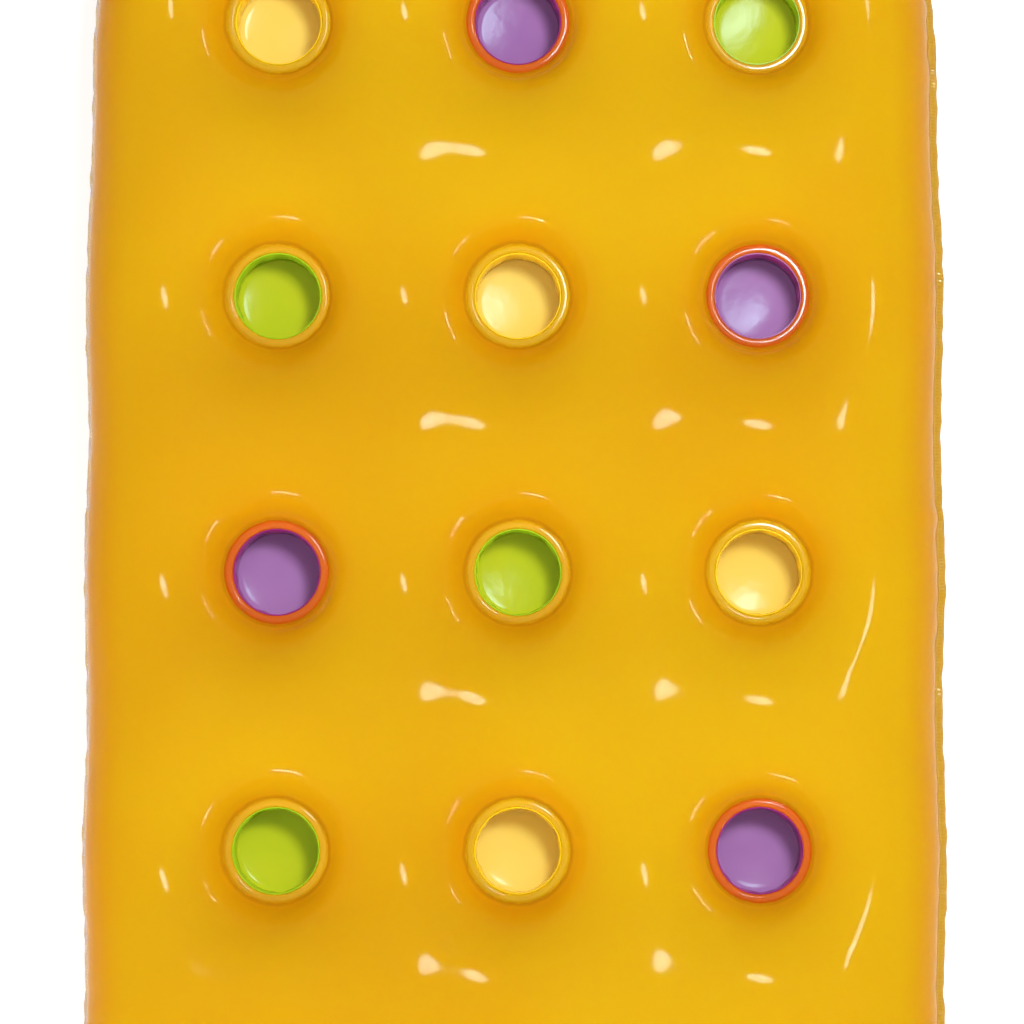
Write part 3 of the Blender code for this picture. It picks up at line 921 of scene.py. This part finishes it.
    def valve_patch(self, x: np.ndarray, y: np.ndarray, core: np.ndarray, keep: np.ndarray, first: int
                    ) -> tuple[np.ndarray, np.ndarray, list[np.ndarray]]:
        """Rings of points round the valve's hole, in place of a block of the core's faces.

        Args:
            x: The core's x.
            y: The core's y.
            core: The core's vertex indices.
            keep: Which of its faces are kept.
            first: Index of the first new point.

        Returns:
            Which faces of the core are still kept, the new points and the new faces.
        """
        if self.patch_rings == 0:
            return keep, np.zeros((0, 2)), []
        near = np.array(self.chamber.valve)
        middle = np.unravel_index(np.argmin(np.hypot(x - near[0], y - near[1])), x.shape)
        reach = SIZES.valve_pad + self.patch_margin
        lines_x = np.flatnonzero(np.abs(x[:, middle[1]] - near[0]) <= reach)
        lines_y = np.flatnonzero(np.abs(y[middle[0], :] - near[1]) <= reach)
        (low_i, high_i), (low_j, high_j) = (lines_x[0], lines_x[-1]), (lines_y[0], lines_y[-1])
        kept = keep.copy()
        kept[low_i:high_i, low_j:high_j] = False
        loop_i, loop_j = block_outline(high_i - low_i, high_j - low_j)
        loop_i, loop_j = low_i + loop_i, low_j + loop_j
        start = np.stack([x[loop_i, loop_j], y[loop_i, loop_j]], axis=-1)
        angle = np.arctan2(start[:, 1] - near[1], start[:, 0] - near[0])
        hole = near + SIZES.valve_hole * np.stack([np.cos(angle), np.sin(angle)], axis=-1)
        share = np.arange(1, self.patch_rings + 1)[:, None, None] / self.patch_rings
        rings = start + (hole - start) * share
        index = first + np.arange(rings.shape[0] * len(start)).reshape(rings.shape[:2])
        loops = np.concatenate([core[loop_i, loop_j][None], index])
        faces = [strip_faces(outer, inner) for outer, inner in zip(loops[:-1], loops[1:])]
        return kept, rings.reshape(-1, 2), faces


@dataclass
class Film:
    """One film of a chamber, with its welded flange, the puckers in from its seam and its pocket lips.

    A lip's rise and roll are shares of the way across the land. A band is a start and a length in metres.
    """

    chamber: Chamber
    side: Side
    plan: FilmPlan
    lip_height: float = 0.0017
    lip_dome: float = 0.055
    lip_lean: float = 0.018
    lip_rise: float = 0.19
    lip_roll: float = 0.69
    lower_lip: float = 0.4
    lip_middle: float = 0.0370
    lip_half_width: float = 0.0040
    lip_droop: float = 0.0010
    quilting: float = 0.004
    quilt_reach: float = 0.045
    quilt_margin: float = 0.070
    valve_band: Pair = (0.03, 0.05)
    ridge_band: Pair = (-0.135, 0.06)
    ridge_ripple: float = 0.0005
    ridge_wave: float = 0.0935
    ridge_phase: float = math.radians(300.0)
    ridge_places: tuple[float, ...] = (-1.0, 0.120, 0.193, 1.0)
    ridge_stretched: tuple[float, ...] = (-1.0, 0.120, 0.161, 0.936)
    right_lean: float = 0.024
    right_lean_start: float = 0.130
    left_fill: float = 0.0012
    left_fill_reach: float = 0.050
    patches: Ripple = Ripple((0.41, 0.23), 3)
    patchiness: float = 0.45
    folds: Ripple = Ripple((0.067, 0.043, 0.029, 0.021), 11)
    waves: Ripple = Ripple((0.083, 0.037, 0.023, 0.017), 5)
    outline: Ripple = Ripple((0.131, 0.047, 0.027, 0.019), 23)
    pucker: float = 0.0008
    left_calm: float = 0.6
    left_flat: float = 0.7
    pucker_reach: float = 0.010
    ruffle: float = 0.0011
    edge_wave: float = 0.0005
    edge_wave_start: float = 0.6
    web_still: float = 0.060
    left_droop: float = math.radians(72.0)
    right_droop: float = math.radians(32.0)
    end_droop: float = math.radians(18.0)
    drift: float = 0.0045
    drift_start: float = 0.205
    drift_width: float = 0.110
    sharp_degrees: float = 62.0

    @property
    def node(self) -> str:
        """Name of the solid that this film stands for."""
        return f"{self.chamber.body}_{self.side.name.lower()}_film"

    def lip(self, radius: np.ndarray) -> np.ndarray:
        """Height that the rolled lip adds round a pocket.

        It rises from the hole, is gently domed over its broad top, and rolls down at the land's edge. The dome is
        a parabola that falls by lip_dome times its half width to each side, and lip_lean tips it outwards.

        Args:
            radius: Distances from the nearest pocket's centre.

        Returns:
            The added heights.
        """
        across = np.clip((radius - SIZES.window_radius) / (SIZES.land_radius - SIZES.window_radius), 0.0, 1.0)
        inside = np.clip(1.0 - across / self.lip_rise, 0.0, 1.0)
        off_middle = radius - self.lip_middle
        top = self.lip_height - self.lip_lean * off_middle - self.lip_dome * off_middle ** 2 / self.lip_half_width
        rolled = 1.0 - smooth_step((across - self.lip_roll) / (1.0 - self.lip_roll))
        rolled = rolled * smooth_step(across / self.lip_rise)
        return top * rolled - self.lip_droop * inside ** 2

    def quilt(self, x: np.ndarray, y: np.ndarray, radius: np.ndarray) -> np.ndarray:
        """How far the film sinks along the pocket rows, so that a rounded ridge stands between two rows.

        It is a cosine along the mattress, with slight waves across on top of each ridge, which is fuller over the
        left column and leans down over the right one. It is eased out at the welded rings, the seam and the valve.

        Args:
            x: Places across.
            y: Places along.
            radius: Distances from the nearest pocket's centre.

        Returns:
            The depths.
        """
        wave = (1.0 + np.cos(2.0 * math.pi * (y - SIZES.first_row_y) / SIZES.row_pitch)) / 2.0
        open_film = smooth_step((radius - SIZES.land_radius) / self.quilt_reach)
        inside = smooth_step(self.chamber.seam_distance(x, y) / self.quilt_margin)
        from_valve = np.hypot(x - self.chamber.valve[0], y - self.chamber.valve[1])
        turn = 2.0 * math.pi * np.interp(x, self.ridge_places, self.ridge_stretched) / self.ridge_wave
        across = self.ridge_ripple * np.cos(turn + self.ridge_phase)
        across = across * smooth_step((x - self.ridge_band[0]) / self.ridge_band[1])
        left = self.left_fill * np.exp(-((x + SIZES.column_pitch) / self.left_fill_reach) ** 2)
        across = (across + left - self.right_lean * np.maximum(x - self.right_lean_start, 0.0)) * (1.0 - wave)
        clear = smooth_step((from_valve - self.valve_band[0]) / self.valve_band[1])
        return (self.quilting * wave - across) * open_film * inside * clear

    def surface(self) -> np.ndarray:
        """The film's outer face: its plan raised by the chamber's height, with puckers, ruffles and lips.

        Returns:
            One row of x, y and z for each point.
        """
        plan, chamber = self.plan, self.chamber
        x, y = plan.points[:, 0], plan.points[:, 1]
        height = (chamber.upper_height if self.side is Side.UPPER else chamber.lower_height)(x, y)
        height = np.where(plan.ring_share >= 1.0, 0.0, height)
        radius, _ = chamber.pocket_radius(x, y)
        if chamber.pockets:
            height = height + self.lip(radius) * (1.0 if self.side is Side.UPPER else self.lower_lip)
            if self.side is Side.UPPER:
                height = height - self.quilt(x, y, radius)

        run, length = plan.run, plan.run_length
        web_y = chamber.head if chamber.web_end > 0 else chamber.foot
        still = smooth_step(np.abs(y - web_y) / self.web_still)
        patchy = 1.0 - self.patchiness + self.patchiness * self.patches.along(run, length)
        folds = self.folds.along(run, length) * patchy * still
        waves = self.waves.along(run, length) * patchy * still
        edge = self.outline.along(run, length) * still
        inward = chamber.roll * np.arccos(np.clip(1.0 - chamber.seam_distance(x, y) / chamber.roll, 0.0, 1.0))
        bulge = inward / self.pucker_reach * np.exp(1.0 - inward / self.pucker_reach)
        in_rings = (plan.ring_share > 0.0) & (plan.ring_share < 1.0)
        to_left = np.clip(-plan.outward[:, 0], 0.0, 1.0) ** 2
        to_right = np.clip(plan.outward[:, 0], 0.0, 1.0) ** 2
        calm = 1.0 - self.left_calm * to_left
        bulge = np.where(in_rings, bulge, 0.0) * folds * calm * self.pucker
        lean = np.clip(chamber.seam_distance(x, y) / chamber.roll, 0.0, 1.0)
        height = height + bulge * lean
        waved = np.clip(plan.ring_share - self.edge_wave_start, 0.0, 1.0)
        out = bulge * (1.0 - lean) + self.edge_wave * edge * waved
        flange = np.clip(plan.ring_share - 1.0, 0.0, 1.0)
        droop = self.end_droop + (self.left_droop - self.end_droop) * to_left
        droop = (droop + (self.right_droop - self.end_droop) * to_right) * still
        tucked = flange * SIZES.flange * (1.0 - np.cos(droop))
        place = plan.points + plan.outward * (out - tucked)[:, None]
        place[:, 0] -= self.drift * smooth_step((np.abs(place[:, 0]) - self.drift_start) / self.drift_width)
        z = SIZES.middle_z + self.side.value * (height + SIZES.weld_offset)
        ruffled = self.ruffle * waves * flange * (1.0 - self.left_flat * to_left)
        z = z + ruffled - flange * SIZES.flange * np.sin(droop)
        return np.column_stack([place, z])

    def build(self, material: bpy.types.Material, weld: bpy.types.Material) -> bpy.types.Object:
        """Makes the film.

        Args:
            material: The film's finish.
            weld: The finish of its pressed pocket lips and of its flange.

        Returns:
            The new piece, riding on its body in place of its solid.
        """
        plan, chamber = self.plan, self.chamber
        faces = plan.faces if self.side is Side.UPPER else plan.faces[:, ::-1]
        piece = add_piece(f"{self.node}_skin", self.surface(), faces, material, self.sharp_degrees)
        x, y = plan.points[:, 0], plan.points[:, 1]
        radius, nearest = chamber.pocket_radius(x, y)
        tints = np.array([LAND_TINTS[p[4]] for p in chamber.pockets] or [LAND_TINTS[Shade.YELLOW]])
        set_attribute(piece, "pocket_radius", radius)
        set_attribute(piece, "pocket_tint", tints[nearest])
        distance = np.where(plan.ring_share >= 1.0, -SIZES.flange * (plan.ring_share - 1.0),
                            chamber.seam_distance(x, y))
        set_attribute(piece, "seam_distance", distance)
        set_attribute(piece, "seam_run", plan.run)
        piece.data.materials.append(weld)
        pressed = (radius[faces].max(axis=1) < SIZES.land_radius) | (plan.ring_share[faces].min(axis=1) >= 1.0)
        piece.data.polygons.foreach_set("material_index", pressed.astype(np.int32))
        add_wall(piece, SIZES.film)
        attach(piece, chamber.body)
        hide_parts(self.node)
        return piece


@dataclass
class FoldWeb:
    """The flat welded web between the mattress and the pillow, which bends as the pillow folds."""

    half_length: float = 0.3175
    thickness: float = 0.0009
    clearance: float = 0.0004
    weld_depth: float = 0.003
    lines: tuple[int, int] = (160, 14)

    def build(self, material: bpy.types.Material) -> bpy.types.Object:
        """Makes the web.

        Args:
            material: The film's finish.

        Returns:
            The new piece.
        """
        low = MATTRESS.head + self.clearance
        high = PILLOW.foot - self.clearance
        x = np.linspace(-1.0, 1.0, self.lines[0] + 1) * self.half_length
        y = np.linspace(low, high, self.lines[1] + 1)
        grid_x, grid_y = np.meshgrid(x, y, indexing="ij")
        z = np.full_like(grid_x, SIZES.middle_z + self.thickness / 2.0)
        grid_x = grid_x - Film.drift * smooth_step((np.abs(grid_x) - Film.drift_start) / Film.drift_width)
        index = np.arange(grid_x.size).reshape(grid_x.shape)
        vertices = np.stack([grid_x, grid_y, z], axis=-1).reshape(-1, 3)
        piece = add_piece("fold_web", vertices, block_faces(index).reshape(-1, 4), material)
        count = len(vertices)
        set_attribute(piece, "pocket_radius", np.ones(count))
        set_attribute(piece, "pocket_tint", np.tile(LAND_TINTS[Shade.YELLOW], (count, 1)))
        set_attribute(piece, "seam_distance", np.full(count, -self.weld_depth))
        set_attribute(piece, "seam_run", vertices[:, 0] + self.half_length)
        add_wall(piece, self.thickness)
        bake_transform(piece)
        return piece


@dataclass
class PocketInsert:
    """The coloured film tube and window of one pocket."""

    row: int
    column: int
    x: float
    y: float
    shade: Shade
    turns: int = 96
    wall_rings: int = 14
    window_rings: int = 22
    bulge: float = 0.0011
    wrinkle: float = 0.0004
    wave_counts: tuple[float, ...] = (7.0, 11.0, 17.0)
    wave_shares: tuple[float, ...] = (1.0, 0.7, 0.4)
    wave_twists: tuple[float, ...] = (0.0, 0.0, 3.0)
    sag: float = 0.0010
    slant: float = 0.0008
    fillet: float = 0.0034
    fillet_start: float = 0.87
    fillet_shown: float = 0.35
    fine_from: float = 0.70
    window_seeds: int = 500

    def sleeve(self, material: bpy.types.Material) -> bpy.types.Object:
        """Makes the tube with a flange at each end, bowed out by the air around it and slightly wrinkled.

        The inner face leans in by a half sine wave over its height, with waves round it that are strongest at
        mid height. The outer face is one film thickness outside it.

        Args:
            material: Its finish.

        Returns:
            The new piece.
        """
        up = np.linspace(0.0, 1.0, self.wall_rings)
        top, foot, film = SIZES.sleeve_top, SIZES.sleeve_foot, SIZES.insert_film
        angle = full_turn(self.turns)
        seed = self.row * 10 + self.column
        phase = np.random.default_rng(seed).uniform(0.0, 2.0 * math.pi, 3)
        waves = zip(self.wave_counts, self.wave_shares, self.wave_twists, phase)
        wave = sum(share * np.sin(count * angle + start + twist * up) for count, share, twist, start in waves)
        lean = np.sin(math.pi * up) * (-self.bulge + self.wrinkle * wave)
        inner_r = SIZES.sleeve_radius + lean
        inner_z = np.broadcast_to(foot + (top - foot) * up, inner_r.shape)
        rim = np.full((self.turns, 1), SIZES.insert_radius)
        level = np.ones((self.turns, 1))
        outer_z = np.clip(inner_z, foot + film, top - film)
        radius = np.concatenate([inner_r, rim, rim, inner_r[:, ::-1] + film, rim, rim], axis=1)
        height = np.concatenate([inner_z, top * level, (top - film) * level, outer_z[:, ::-1],
                                 (foot + film) * level, foot * level], axis=1)
        return self.finish("sleeve", radius, height, material)

    def window(self, material: bpy.types.Material) -> bpy.types.Object:
        """Makes the film disc that closes the tube below: a shallow dish whose rim turns up to the tube.

        Args:
            material: Its finish.

        Returns:
            The new piece.
        """
        angle = full_turn(self.turns)
        seed = self.row * 10 + self.column + self.window_seeds
        rng = np.random.default_rng(seed)
        tilt = rng.uniform(-0.5, 0.5, 2)
        coarse = self.window_rings // 2
        share = np.concatenate([np.linspace(0.0, self.fine_from, coarse, endpoint=False),
                                np.linspace(self.fine_from, 1.0, self.window_rings - coarse)])
        radius = np.broadcast_to(share * SIZES.insert_radius, (self.turns, self.window_rings))
        inside = np.clip(radius / SIZES.sleeve_radius, 0.0, 1.0)
        dish = self.sag * (inside ** 2 - 1.0)
        turned_up = np.clip((inside - self.fillet_start) / (1.0 - self.fillet_start), 0.0, 1.0) ** 2
        roll = self.fillet * turned_up * np.where(radius > SIZES.sleeve_radius, 0.0, 1.0)
        slope = self.slant * inside * (1.0 - inside ** 2) * (tilt[0] * np.cos(angle) + tilt[1] * np.sin(angle))
        top = SIZES.window_top + dish + roll * self.fillet_shown + slope
        top = np.minimum(top, SIZES.window_top + roll)
        radius = np.concatenate([radius, radius[:, ::-1]], axis=1)
        height = np.concatenate([top, top[:, ::-1] - SIZES.insert_film], axis=1)
        return self.finish("window", radius, height, material)

    def finish(self, kind: str, radius: np.ndarray, height: np.ndarray,
               material: bpy.types.Material) -> bpy.types.Object:
        """Turns one insert piece and sets it in its pocket.

        Args:
            kind: sleeve or window.
            radius: Radii of its closed profile at each angle.
            height: Heights of its profile.
            material: Its finish.

        Returns:
            The new piece, riding on the mattress in place of its solid.
        """
        tag = f"r{self.row}_c{self.column}"
        piece = turned_piece(f"{kind}_{tag}", (self.x, self.y, SIZES.middle_z), radius, height, material)
        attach(piece, "mattress")
        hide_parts(f"pocket_{kind}_{tag}")
        return piece


@dataclass
class AirValve:
    """A push-in air valve: weld base, stem, stopper, strap and check flap, in metres from the pad's top."""

    chamber: Chamber
    turns: int = 72
    edge: float = 0.00028
    edge_steps: int = 3
    edge_angle: float = math.radians(40.0)
    base: Profile = (
        (0.0070, 0.0), (0.0117, 0.0), (0.0117, -0.0006), (0.0170, -0.0006), (0.0170, -0.0018),
        (0.0092, -0.0018), (0.0092, -0.0045), (0.0070, -0.0045))
    stem: Profile = (
        (0.0042, 0.0018), (0.0080, 0.0018), (0.0080, 0.0003), (0.0067, 0.0003), (0.0067, -0.0168),
        (0.0082, -0.0168), (0.0082, -0.0185), (0.0042, -0.0185))
    plug: Profile = (
        (0.0, 0.0041), (0.0075, 0.0041), (0.0075, 0.0021), (0.0039, 0.0021), (0.0039, -0.0053),
        (0.0033, -0.0059), (0.0, -0.0059))
    flap: Profile = ((0.0, -0.0188), (0.0062, -0.0188), (0.0062, -0.0193), (0.0, -0.0193))
    strap_start: Pair = (0.0083, 0.00105)
    strap_end: Pair = (0.0078, 0.0031)
    strap_reach: float = 0.0163
    strap_width: float = 0.0042
    strap_thickness: float = 0.0009
    strap_roundness: float = 0.35
    strap_corners: int = 16
    strap_steps: tuple[int, int] = (6, 17)
    strap_sharp: float = 60.0

    def centre(self) -> Point:
        """The point on the valve's axis at the top of its pad."""
        return (*self.chamber.valve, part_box(f"{self.chamber.body}_valve_base")[1].z)

    def turned(self, part: str, profile: Profile, body: str,
               material: bpy.types.Material) -> bpy.types.Object:
        """Makes one turned piece of the valve with softened edges.

        Args:
            part: base, stem, plug or flap.
            profile: Radius and height of the corners of its closed profile.
            body: The body it rides on.
            material: Its finish.

        Returns:
            The new piece in place of its solid.
        """
        radius, height = (np.tile(column, (self.turns, 1)) for column in np.array(profile).T)
        node = f"{self.chamber.body}_valve_{part}"
        piece = turned_piece(f"{node}_moulding", self.centre(), radius, height, material)
        soft = piece.modifiers.new("soft_edge", "BEVEL")
        soft.width = self.edge
        soft.segments = self.edge_steps
        soft.limit_method = "ANGLE"
        soft.angle_limit = self.edge_angle
        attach(piece, body)
        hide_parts(node)
        return piece

    def strap(self, material: bpy.types.Material) -> bpy.types.Object:
        """Makes the strap: a flat band carried from the stem's collar, round a half turn, to the stopper's rim.

        Args:
            material: Its finish.

        Returns:
            The new piece in place of its solid. The real strap stretches at its bend as the stopper is pulled out.
        """
        (start_x, start_z), (end_x, end_z) = self.strap_start, self.strap_end
        radius = (end_z - start_z) / 2.0
        bend_x = self.strap_reach - radius
        straight, bent = self.strap_steps
        turn = np.linspace(-math.pi / 2.0, math.pi / 2.0, bent)
        way_x = np.concatenate([np.linspace(start_x, bend_x, straight, endpoint=False),
                                bend_x + radius * np.cos(turn), np.linspace(bend_x, end_x, straight + 1)[1:]])
        way_z = np.concatenate([np.full(straight, start_z), (start_z + end_z) / 2.0 + radius * np.sin(turn),
                                np.full(straight, end_z)])
        along = np.gradient(way_x), np.gradient(way_z)
        size = np.hypot(*along)
        out = np.stack([along[1] / size, -along[0] / size], axis=-1)
        corner = np.linspace(0.0, 2.0 * math.pi, self.strap_corners, endpoint=False)
        flat, thick = (np.sign(side) * np.abs(side) ** self.strap_roundness * size_of / 2.0
                       for side, size_of in ((np.cos(corner), self.strap_width),
                                             (np.sin(corner), self.strap_thickness)))
        centre = self.centre()
        x = centre[0] + way_x[:, None] + out[:, :1] * thick
        y = centre[1] + np.broadcast_to(flat, x.shape)
        z = centre[2] + way_z[:, None] + out[:, 1:] * thick
        ends = [np.broadcast_to(np.stack([x[k].mean(), y[k].mean(), z[k].mean()]), (len(corner), 3)) for k in (0, -1)]
        sweep = np.concatenate([ends[0][None], np.stack([x, y, z], axis=-1), ends[1][None]])
        index = np.arange(sweep.shape[0] * len(corner)).reshape(sweep.shape[0], -1)
        index = np.concatenate([index, index[:, :1]], axis=1)
        node = f"{self.chamber.body}_valve_strap"
        piece = add_piece(f"{node}_moulding", sweep.reshape(-1, 3), block_faces(index).reshape(-1, 4), material)
        close_mesh(piece, self.strap_sharp)
        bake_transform(piece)
        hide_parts(node)
        return piece

    def build(self, material: bpy.types.Material) -> list[bpy.types.Object]:
        """Makes the whole valve.

        Args:
            material: Its finish.

        Returns:
            Its pieces.
        """
        body = self.chamber.body
        return [self.turned("base", self.base, body, material),
                self.turned("stem", self.stem, f"{body}_stem", material),
                self.turned("plug", self.plug, f"{body}_plug", material),
                self.turned("flap", self.flap, f"{body}_flap", material),
                self.strap(material)]


@dataclass(frozen=True)
class Softbox:
    """One area lamp: where it hangs, where it points, its size in metres, its strength and what it lights."""

    name: str
    place: Point
    aim: Point
    size: Pair
    watts: float
    colour: Colour = (1.0, 1.0, 1.0)
    lights_matt: bool = True
    shows_in_gloss: bool = True
    shape: str = "RECTANGLE"

    def build(self) -> None:
        """Hangs the lamp."""
        data = bpy.data.lights.new(self.name, "AREA")
        data.shape = self.shape
        data.size, data.size_y = self.size
        data.energy = self.watts
        data.color = self.colour
        lamp = bpy.data.objects.new(self.name, data)
        bpy.context.scene.collection.objects.link(lamp)
        lamp.location = self.place
        lamp.rotation_euler = (Vector(self.aim) - Vector(self.place)).to_track_quat("-Z", "Y").to_euler()
        lamp.visible_diffuse = self.lights_matt
        lamp.visible_glossy = self.shows_in_gloss
        lamp.visible_camera = False


@dataclass
class Studio:
    """The pale floor, the soft light and the camera above the mattress."""

    floor_half: float = 9.0
    floor_colour: Colour = (0.64, 0.64, 0.64)
    floor_mottle: float = 0.99
    floor_cloud: float = 1.5
    floor_roughness: float = 0.9
    floor_gloss: float = 0.1
    floor_glow: float = 0.60
    sky_level: float = 0.42
    sky_seen: float = 0.92
    sky_colour: Colour = (0.98, 0.98, 0.98)
    camera_target: Point = (-0.0046, -0.033, 0.100)
    camera_distance: float = 3.6
    camera_tilt: float = math.radians(3.9)
    frame_width: float = 0.79
    camera_clip: float = 100.0
    sensor: float = 36.0
    lamps: tuple[Softbox, ...] = (
        Softbox("key", (0.80, 0.80, 2.80), (0.0, 0.0, 0.0), (0.65, 0.65), 50.0, shows_in_gloss=False),
        Softbox("overhead", (0.0, 0.1, 3.2), (0.0, 0.0, 0.0), (2.4, 2.8), 12.0, shows_in_gloss=False),
        Softbox("fill_left", (-2.2, -2.0, 1.35), (0.0, 0.0, 0.06), (1.3, 1.3), 56.0, shows_in_gloss=False),
        Softbox("fill_right", (2.2, -2.0, 1.35), (0.0, 0.0, 0.06), (1.3, 1.3), 34.0, shows_in_gloss=False),
        Softbox("spark", (4.0, 6.2, 39.4), (0.0, 0.0, 0.0), (3.3, 6.2), 3900.0, (0.60, 0.88, 1.0),
                lights_matt=False, shape="ELLIPSE"),
        Softbox("rim_right", (7.70, 5.39, 3.48), (0.0, 0.0, 0.06), (3.4, 0.40), 360.0, lights_matt=False),
        Softbox("rim_left", (7.70, -5.39, 3.48), (0.0, 0.0, 0.06), (3.4, 0.40), 360.0, lights_matt=False),
        Softbox("rim_foot", (-1.95, -9.19, 3.48), (0.0, 0.0, 0.06), (3.4, 0.40), 360.0, lights_matt=False),
    )

    def floor(self) -> None:
        """Lays the floor: matt, pale, and a little brighter to the eye so that it reads as white."""
        corners = np.array([(-1.0, -1.0), (1.0, -1.0), (1.0, 1.0), (-1.0, 1.0)]) * self.floor_half
        shader = Shader(bpy.data.materials.new("pale_floor"))
        mottled = tuple(self.floor_mottle * c for c in self.floor_colour)
        level = shader.mix(shader.noise(self.floor_cloud), self.floor_colour, mottled)
        shader.feed(shader.surface, {"Base Color": level, "Roughness": self.floor_roughness,
                                     "Specular IOR Level": self.floor_gloss})
        glow = shader.math("MULTIPLY", shader.seen(), self.floor_glow)
        shader.feed(shader.surface, {"Emission Color": (1.0, 1.0, 1.0, 1.0), "Emission Strength": glow})
        vertices = np.column_stack([corners, np.zeros(4)])
        floor = add_piece("floor", vertices, np.array([[0, 1, 2, 3]]), shader.owner)

    def sky(self) -> None:
        """Sets the even light from all round, which reads as white behind the object."""
        world = bpy.data.worlds.new("studio")
        bpy.context.scene.world = world
        shader = Shader(world, "Background")
        more = shader.math("MULTIPLY", shader.seen(), self.sky_seen - self.sky_level)
        shader.feed(shader.surface, {"Color": (*self.sky_colour, 1.0),
                                     "Strength": shader.math("ADD", more, self.sky_level)})

    def camera(self) -> None:
        """Hangs the camera over the mattress, a little towards its foot, as the photograph has it."""
        data = bpy.data.cameras.new("camera")
        data.sensor_width = self.sensor
        data.lens = self.sensor * self.camera_distance / self.frame_width
        data.clip_end = self.camera_clip
        camera = bpy.data.objects.new("camera", data)
        bpy.context.scene.collection.objects.link(camera)
        back = Vector((0.0, -math.sin(self.camera_tilt), math.cos(self.camera_tilt)))
        camera.location = Vector(self.camera_target) + self.camera_distance * back
        camera.rotation_euler = (self.camera_tilt, 0.0, 0.0)
        bpy.context.scene.camera = camera

    def build(self) -> None:
        """Sets up the whole studio."""
        self.floor()
        self.sky()
        for lamp in self.lamps:
            lamp.build()
        self.camera()
        bpy.context.scene.view_settings.view_transform = "Standard"


def main() -> None:
    """Builds the studio and every piece of the lounger in order."""
    logging.basicConfig(level=logging.INFO, format="%(name)s: %(message)s")
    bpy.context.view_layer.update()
    Studio().build()

    orange = FilmFinish().material()
    weld = FilmFinish("orange_weld", gloss=0.30, sheen_tint=(1.0, 0.97, 0.90)).material()
    plans = {(MATTRESS.body, Side.UPPER): FilmPlan(MATTRESS),
             (MATTRESS.body, Side.LOWER): FilmPlan(MATTRESS, lip_rings=4, cell_rings=(7, 9), margin_rings=9,
                                                   flange_rings=2, patch_rings=0),
             (PILLOW.body, Side.UPPER): FilmPlan(PILLOW),
             (PILLOW.body, Side.LOWER): FilmPlan(PILLOW, patch_rings=0)}
    for chamber in (MATTRESS, PILLOW):
        for side in Side:
            plan = plans[chamber.body, side]
            plan.build()
            film = Film(chamber, side, plan).build(orange, weld)
            log.info("%s: %d faces", film.name, len(film.data.polygons))
    log.info("%s", FoldWeb().build(orange).name)

    sleeves = {shade: finish.material() for shade, finish in SLEEVE_FINISHES.items()}
    windows = {shade: finish.material() for shade, finish in WINDOW_FINISHES.items()}
    for pocket in SIZES.pockets():
        insert = PocketInsert(*pocket)
        made = insert.sleeve(sleeves[insert.shade]), insert.window(windows[insert.shade])
        log.info("%s and %s", *(piece.name for piece in made))

    clear = ValveFinish().material()
    for chamber in (MATTRESS, PILLOW):
        for piece in AirValve(chamber).build(clear):
            log.info("%s", piece.name)


if __name__ == "__main__":
    main()
